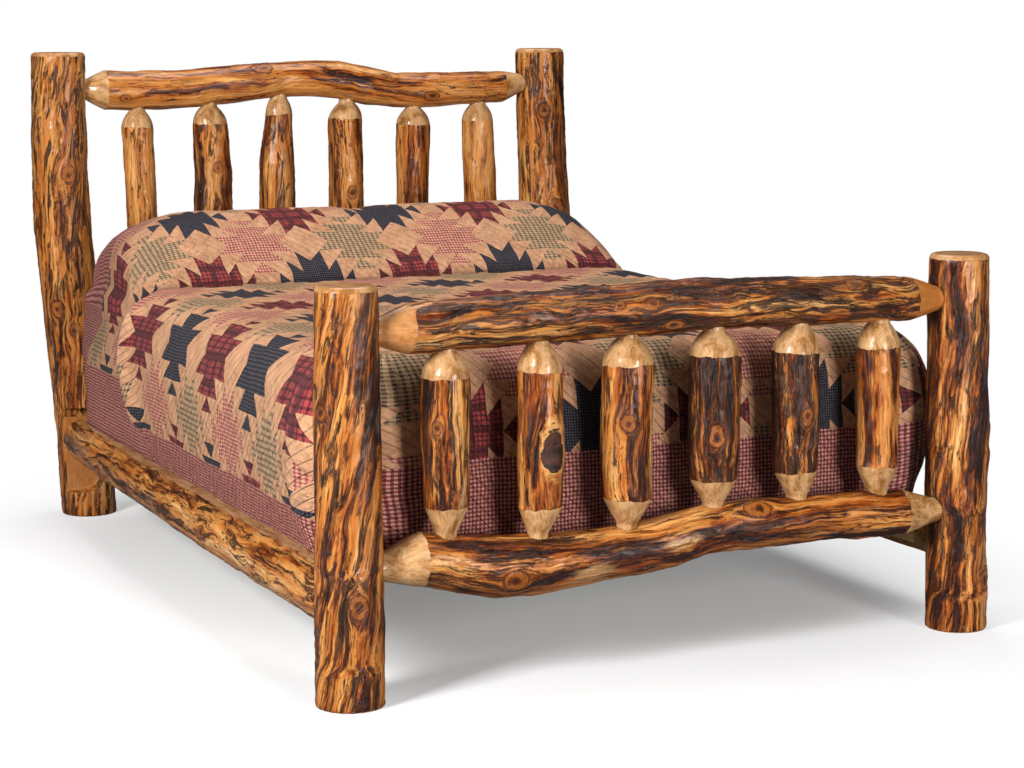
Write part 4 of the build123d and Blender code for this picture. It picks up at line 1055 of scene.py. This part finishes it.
def boardTree():  # a row of boards with rounded edges and a slight warp, each with its own stretch of grain
    tree, node, size = newGeometryTree("boardRow", {
        "Count": 7, "First": (0.0, 0.0, 0.0), "Step": (0.0, 0.3, 0.0), "Turn": (0.0, 0.0, 0.0),
        "Length": 1.5, "Width": 0.089, "Thickness": 0.019, "Edge": boardWork["slatEdge"],
        "Warp": boardWork["warp"], "Seed": boardWork["seed"]})
    section = node("GeometryNodeCurvePrimitiveQuadrilateral", {
        "Width": size["Width"], "Height": size["Thickness"]})
    rounded = node("GeometryNodeFilletCurve", {
        "Curve": section, "Radius": size["Edge"], "Count": 3}, mode="POLY")
    half = node("Math", [size["Length"], 0.5], operation="MULTIPLY")
    back = node("Math", [half, -1.0], operation="MULTIPLY")
    start = node("CombineXYZ", [back])
    end = node("CombineXYZ", [half])
    line = node("GeometryNodeCurvePrimitiveLine", {"Start": start, "End": end})
    steps = node("GeometryNodeResampleCurve", {"Curve": line, "Count": 40})
    board = node("GeometryNodeCurveToMesh", {"Curve": steps, "Profile Curve": rounded, "Fill Caps": True})
    place = node("GeometryNodeInputPosition")
    placed = node("GeometryNodeStoreNamedAttribute", {
        "Geometry": board, "Name": "boardPlace", "Value": place}, data_type="FLOAT_VECTOR")
    row = node("GeometryNodeMeshLine", {
        "Count": size["Count"], "Start Location": size["First"], "Offset": size["Step"]})
    boards = node("GeometryNodeInstanceOnPoints", {
        "Points": row, "Instance": placed, "Rotation": size["Turn"]})
    numbered = node("GeometryNodeStoreNamedAttribute", {
        "Geometry": boards, "Name": "boardNumber", "Value": node("GeometryNodeInputIndex")},
        data_type="FLOAT", domain="INSTANCE")
    whole = node("GeometryNodeRealizeInstances", {"Geometry": numbered})
    number = node("GeometryNodeInputNamedAttribute", {"Name": "boardNumber"}, data_type="FLOAT")
    grain = node("GeometryNodeInputNamedAttribute", {"Name": "boardPlace"}, data_type="FLOAT_VECTOR")
    apart = node("VectorMath", [number, (3.7, 1.3, 0.9)], operation="MULTIPLY")
    moved = node("VectorMath", [grain, apart], operation="ADD")
    grained = node("GeometryNodeStoreNamedAttribute", {
        "Geometry": whole, "Name": "boardPlace", "Value": moved}, data_type="FLOAT_VECTOR")
    wave = node("TexNoise", {
        "Vector": moved, "Scale": 4.0, "Detail": 1.0, "W": size["Seed"]}, noise_dimensions="4D")
    swing = node("VectorMath", [wave.outputs["Color"], (-0.5, -0.5, -0.5)], operation="ADD")
    offset = node("VectorMath", {0: swing, 3: size["Warp"]}, operation="SCALE")
    warped = node("GeometryNodeSetPosition", {"Geometry": grained, "Offset": offset})
    finishGeometry(node, warped, planedPine)
    return tree


def buildBoards():
    tree = boardTree()
    groups = {"slats": [f"slat_{k}" for k in range(1, 8)], "ledgers": ["ledger_left", "ledger_right"]}
    for name, group in groups.items():
        boxes = [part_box(node) for node in group]
        middles = [(low + high) / 2 for low, high in boxes]
        size = boxes[0][1] - boxes[0][0]
        isLedger = name == "ledgers"
        boards = growPiece("planed_" + name, [(0, 0, 0)], [], tree, {
            "Count": len(group), "First": tuple(middles[0]), "Step": tuple(middles[1] - middles[0]),
            "Turn": (0.0, 0.0, math.pi / 2 if isLedger else 0.0),
            "Length": size.y if isLedger else size.x, "Width": size.x if isLedger else size.y,
            "Thickness": size.z, "Edge": boardWork["ledgerEdge" if isLedger else "slatEdge"]})
        handOver(boards, "frame", "sawn_pine", *group)


def screwTree():  # countersunk screws with a cross recess, one at each point, its head facing out
    tree, node, size = newGeometryTree("countersunkScrews", {
        "Head Radius": screwWork["headRadius"], "Head Depth": screwWork["headDepth"],
        "Shank Radius": screwWork["shankRadius"], "Recess Width": screwWork["recessWidth"],
        "Shank Length": 0.04})
    head = node("GeometryNodeMeshCone", {
        "Vertices": 20, "Radius Top": size["Head Radius"], "Radius Bottom": size["Shank Radius"],
        "Depth": size["Head Depth"]})
    down = node("Math", [size["Head Depth"], -1.0], operation="MULTIPLY")
    sunk = node("GeometryNodeTransform", {"Geometry": head, "Translation": node("CombineXYZ", {2: down})})
    arm = node("Math", [size["Head Radius"], 1.15], operation="MULTIPLY")
    deep = node("Math", [size["Head Depth"], 1.3], operation="MULTIPLY")
    slots = [node("GeometryNodeMeshCube", {"Size": node("CombineXYZ", [first, second, deep])})
             for first, second in ((arm, size["Recess Width"]), (size["Recess Width"], arm))]
    cut = node("GeometryNodeMeshBoolean", {
        "Mesh 1": sunk, "Mesh 2": slots}, operation="DIFFERENCE", solver="EXACT")
    shank = node("GeometryNodeMeshCylinder", {
        "Vertices": 12, "Radius": size["Shank Radius"], "Depth": size["Shank Length"]})
    middle = node("Math", [size["Shank Length"], -0.5, down], operation="MULTIPLY_ADD")
    below = node("GeometryNodeTransform", {"Geometry": shank, "Translation": node("CombineXYZ", {2: middle})})
    screw = node("GeometryNodeJoinGeometry", {"Geometry": [cut, below]})
    facing = node("GeometryNodeInputNamedAttribute", {"Name": "facing"}, data_type="FLOAT_VECTOR")
    turn = node("FunctionNodeAlignRotationToVector", {"Vector": facing}, axis="Z")
    points = node("GeometryNodeMeshToPoints", {"Mesh": size["Geometry"]})
    screws = node("GeometryNodeInstanceOnPoints", {"Points": points, "Instance": screw, "Rotation": turn})
    finishGeometry(node, screws, zincSteel)
    return tree


def screwPlaces(node):  # where each screw's head is, which way it faces, and the screws' length
    solid = bmesh.new()
    copy = mergedCopy(node, "places")
    solid.from_mesh(copy.data)
    bpy.data.objects.remove(copy)
    left, places, facing, length = set(solid.verts), [], [], 0.0
    while left:
        stack, island = [left.pop()], []
        while stack:
            vertex = stack.pop()
            island.append(vertex.co[:])
            for edge in vertex.link_edges:
                other = edge.other_vert(vertex)
                if other in left:
                    left.remove(other)
                    stack.append(other)
        points = np.array(island)
        low, high = points.min(0), points.max(0)
        axis = int(np.argmax(high - low))
        length = high[axis] - low[axis]
        ends = [points[np.abs(points[:, axis] - end) < 1e-4] for end in (low[axis], high[axis])]
        spread = [np.ptp(end, axis=0).max() for end in ends]
        outward = 1.0 if spread[1] > spread[0] else -1.0
        place, face = (low + high) / 2, np.zeros(3)
        face[axis] = outward
        place[axis] = (high if outward > 0 else low)[axis] + outward * screwWork["proud"]
        places.append(place)
        facing.append(face)
    solid.free()
    order = np.lexsort(np.round(np.array(places), 4).T)
    return np.array(places)[order], np.array(facing)[order], length


def buildScrews():
    tree = screwTree()
    for node in ("plate_screws", "ledger_screws", "slat_screws"):
        places, facing, length = screwPlaces(node)
        screws = growPiece(node + "_recessed", places, [], tree, {
            "Shank Length": float(length - screwWork["headDepth"] - 0.001)}, facing=facing)
        handOver(screws, "frame", "screw_steel", node)
        print(node, len(places))


def tapeTree():  # a round taped edge along a loop, with a row of stitches beside it
    tree, node, size = newGeometryTree("tapedEdge", {
        "Radius": tapeWork["radius"], "Stitch Pitch": tapeWork["stitchPitch"],
        "Stitch Length": tapeWork["stitchLength"], "Stitch Width": tapeWork["stitchWidth"]})
    loop = node("GeometryNodeMeshToCurve", {"Mesh": size["Geometry"]})
    even = node("GeometryNodeResampleCurve", {"Curve": loop, "Length": 0.02}, mode="LENGTH")
    section = node("GeometryNodeCurvePrimitiveCircle", {"Resolution": 8, "Radius": size["Radius"]})
    tape = node("GeometryNodeCurveToMesh", {"Curve": even, "Profile Curve": section})
    smooth = node("GeometryNodeSetShadeSmooth", {"Geometry": tape})
    spots = node("GeometryNodeResampleCurve", {"Curve": loop, "Length": size["Stitch Pitch"]}, mode="LENGTH")
    ball = node("GeometryNodeMeshIcoSphere", {"Radius": 1.0, "Subdivisions": 1})
    shape = node("CombineXYZ", [size["Stitch Width"], size["Stitch Width"], size["Stitch Length"]])
    turn = node("FunctionNodeAlignRotationToVector", {"Vector": node("GeometryNodeInputTangent")}, axis="Z")
    stitches = node("GeometryNodeInstanceOnPoints", {
        "Points": spots, "Instance": ball, "Rotation": turn, "Scale": shape})
    facing = node("GeometryNodeInputNamedAttribute", {"Name": "facing"}, data_type="FLOAT_VECTOR")
    beside = node("VectorMath", {0: facing, 3: size["Radius"]}, operation="SCALE")
    shifted = node("GeometryNodeSetPosition", {"Geometry": stitches, "Offset": beside})
    both = node("GeometryNodeJoinGeometry", {"Geometry": [smooth, shifted]})
    finishGeometry(node, both, twillTape)
    return tree


def roundedLoop(low, high, radius, inset, height):  # a level rounded rectangle in a box, and how it faces
    points, facing = [], []
    for quarter, (sx, sy) in enumerate(((1, 1), (-1, 1), (-1, -1), (1, -1))):
        cx = (high.x if sx > 0 else low.x) - sx * radius
        cy = (high.y if sy > 0 else low.y) - sy * radius
        for k in range(9):
            turn = math.radians(90 * quarter + 11.25 * k)
            across, along = math.cos(turn), math.sin(turn)
            points.append((cx + (radius - inset) * across, cy + (radius - inset) * along, height))
            facing.append((across, along, 0.0))
    return points, facing


def buildTapes():
    tree = tapeTree()
    for node in ("mattress", "foundation"):
        body, corner, upper, lower = tapeWork[node]
        low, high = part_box(node)
        points, facing, edges = [], [], []
        for inset, drop, level in ((upper[0], -upper[1], high.z), (lower[0], lower[1], low.z)):
            loop, outward = roundedLoop(low, high, corner, inset, level + drop)
            edges += [(len(points) + k, len(points) + (k + 1) % len(loop)) for k in range(len(loop))]
            points += loop
            facing += outward
        tape = growPiece(node + "_tape", points, edges, tree, {}, facing=facing)
        handOver(tape, body, "ticking")


buildBoards()
buildScrews()
buildTapes()
for name, piece in nodes.items():
    if name.startswith(("hook_plate", "slot_plate")):
        piece.data.materials.clear()
        piece.data.materials.append(zincSteel)
print("boards, screws, tapes and plates finished")


stageSettings = {
    "floorColour": "f2f2f2", "floorHalf": 14.0,
    "cameraPlace": (-2.708, -6.029, 1.515), "cameraTurn": -25.298, "cameraTilt": 5.247,
    "lens": 86.48, "shiftY": -0.15,
    "skyStrength": 0.16, "skyInGloss": 0.05,
    "bounceColour": "8a8a8a",  # what the floor gives back to the object
    # the floor takes shadows near the bed only, and fades to plain white
    "fadeShape": (1.3, 0.95, 1.0), "fadeStart": 1.1, "fadeEnd": 2.1, "nearShare": 0.18,
    # where each lamp is, what it points at, its width and height, and its power
    "keySoftbox": ((-5.0, -3.0, 2.8), (0, 0, 0.5), (1.3, 2.0), 520.0),
    "fillSoftbox": ((0.8, -5.6, 1.1), (0, 0, 0.5), (1.2, 1.8), 215.0),
    "topSoftbox": ((0.5, 1.2, 4.6), (0, 0, 0.4), (2.6, 2.6), 145.0),
}


def buildFloor():  # white where the camera sees it far off, and a soft shade under the bed
    floorMesh = bpy.data.meshes.new("floor")
    h = stageSettings["floorHalf"]
    floorMesh.from_pydata([(-h, -h, 0), (h, -h, 0), (h, h, 0), (-h, h, 0)], [], [(0, 1, 2, 3)])
    floor = newObject("floor", floorMesh)
    material, node = newMaterial("whitePaintedFloor")
    path = node("LightPath")
    place = node("TexCoord").outputs["Object"]
    scaled = node("VectorMath", [place, stageSettings["fadeShape"]], operation="MULTIPLY")
    far = node("VectorMath", [scaled], operation="LENGTH")
    reach = [stageSettings[key] for key in ("fadeStart", "fadeEnd", "nearShare")]
    fade = node("MapRange", [far.outputs["Value"], *reach, 1.0], interpolation_type="SMOOTHSTEP")
    seen = node("Math", [path.outputs["Is Camera Ray"], fade], operation="MULTIPLY")
    bounce, plain = (linearColour(stageSettings[key]) for key in ("bounceColour", "floorColour"))
    paint = addLayer(node, bounce, plain, path.outputs["Is Camera Ray"])
    matt = node("BsdfDiffuse", {"Color": paint})
    glow = node("Emission", {"Color": (1, 1, 1, 1), "Strength": 1.0})
    mixed = node("MixShader", [seen, matt, glow])
    node("OutputMaterial", {"Surface": mixed})
    floorMesh.materials.append(material)


def lightSky():
    world = bpy.data.worlds.new("studio")
    bpy.context.scene.world = world
    world.use_nodes = True
    world.node_tree.nodes.clear()
    node = partial(addNode, world.node_tree)
    path = node("LightPath").outputs
    seen = node("Math", [path["Is Camera Ray"], path["Is Transmission Ray"]], operation="MAXIMUM")
    dimmed = node("MapRange", {
        0: path["Is Glossy Ray"], 3: stageSettings["skyStrength"], 4: stageSettings["skyInGloss"]})
    strength = node("Mix", {0: seen, 2: dimmed, 3: 1.0}, data_type="FLOAT")
    sky = node("Background", {"Color": (1, 1, 1, 1), "Strength": strength})
    node("OutputWorld", {"Surface": sky})


def placeLamps():
    for name in ("keySoftbox", "fillSoftbox", "topSoftbox"):
        place, target, size, power = stageSettings[name]
        light = bpy.data.lights.new(name, "AREA")
        light.shape, light.size, light.size_y, light.energy = "RECTANGLE", size[0], size[1], power
        lamp = newObject(name, light)
        lamp.location = place
        lamp.rotation_euler = (Vector(target) - Vector(place)).to_track_quat("-Z", "Y").to_euler()


def placeCamera():
    camera = bpy.data.cameras.new("camera")
    camera.sensor_width, camera.lens, camera.shift_y = 36.0, stageSettings["lens"], stageSettings["shiftY"]
    camera.clip_end = 100
    viewer = newObject("camera", camera)
    viewer.location = stageSettings["cameraPlace"]
    tilt, turn = (math.radians(stageSettings[key]) for key in ("cameraTilt", "cameraTurn"))
    viewer.rotation_euler = (math.pi / 2 - tilt, 0, turn)
    bpy.context.scene.camera = viewer
    bpy.context.scene.view_settings.view_transform = "Standard"


buildFloor()
lightSky()
placeLamps()
placeCamera()
print("stage built")
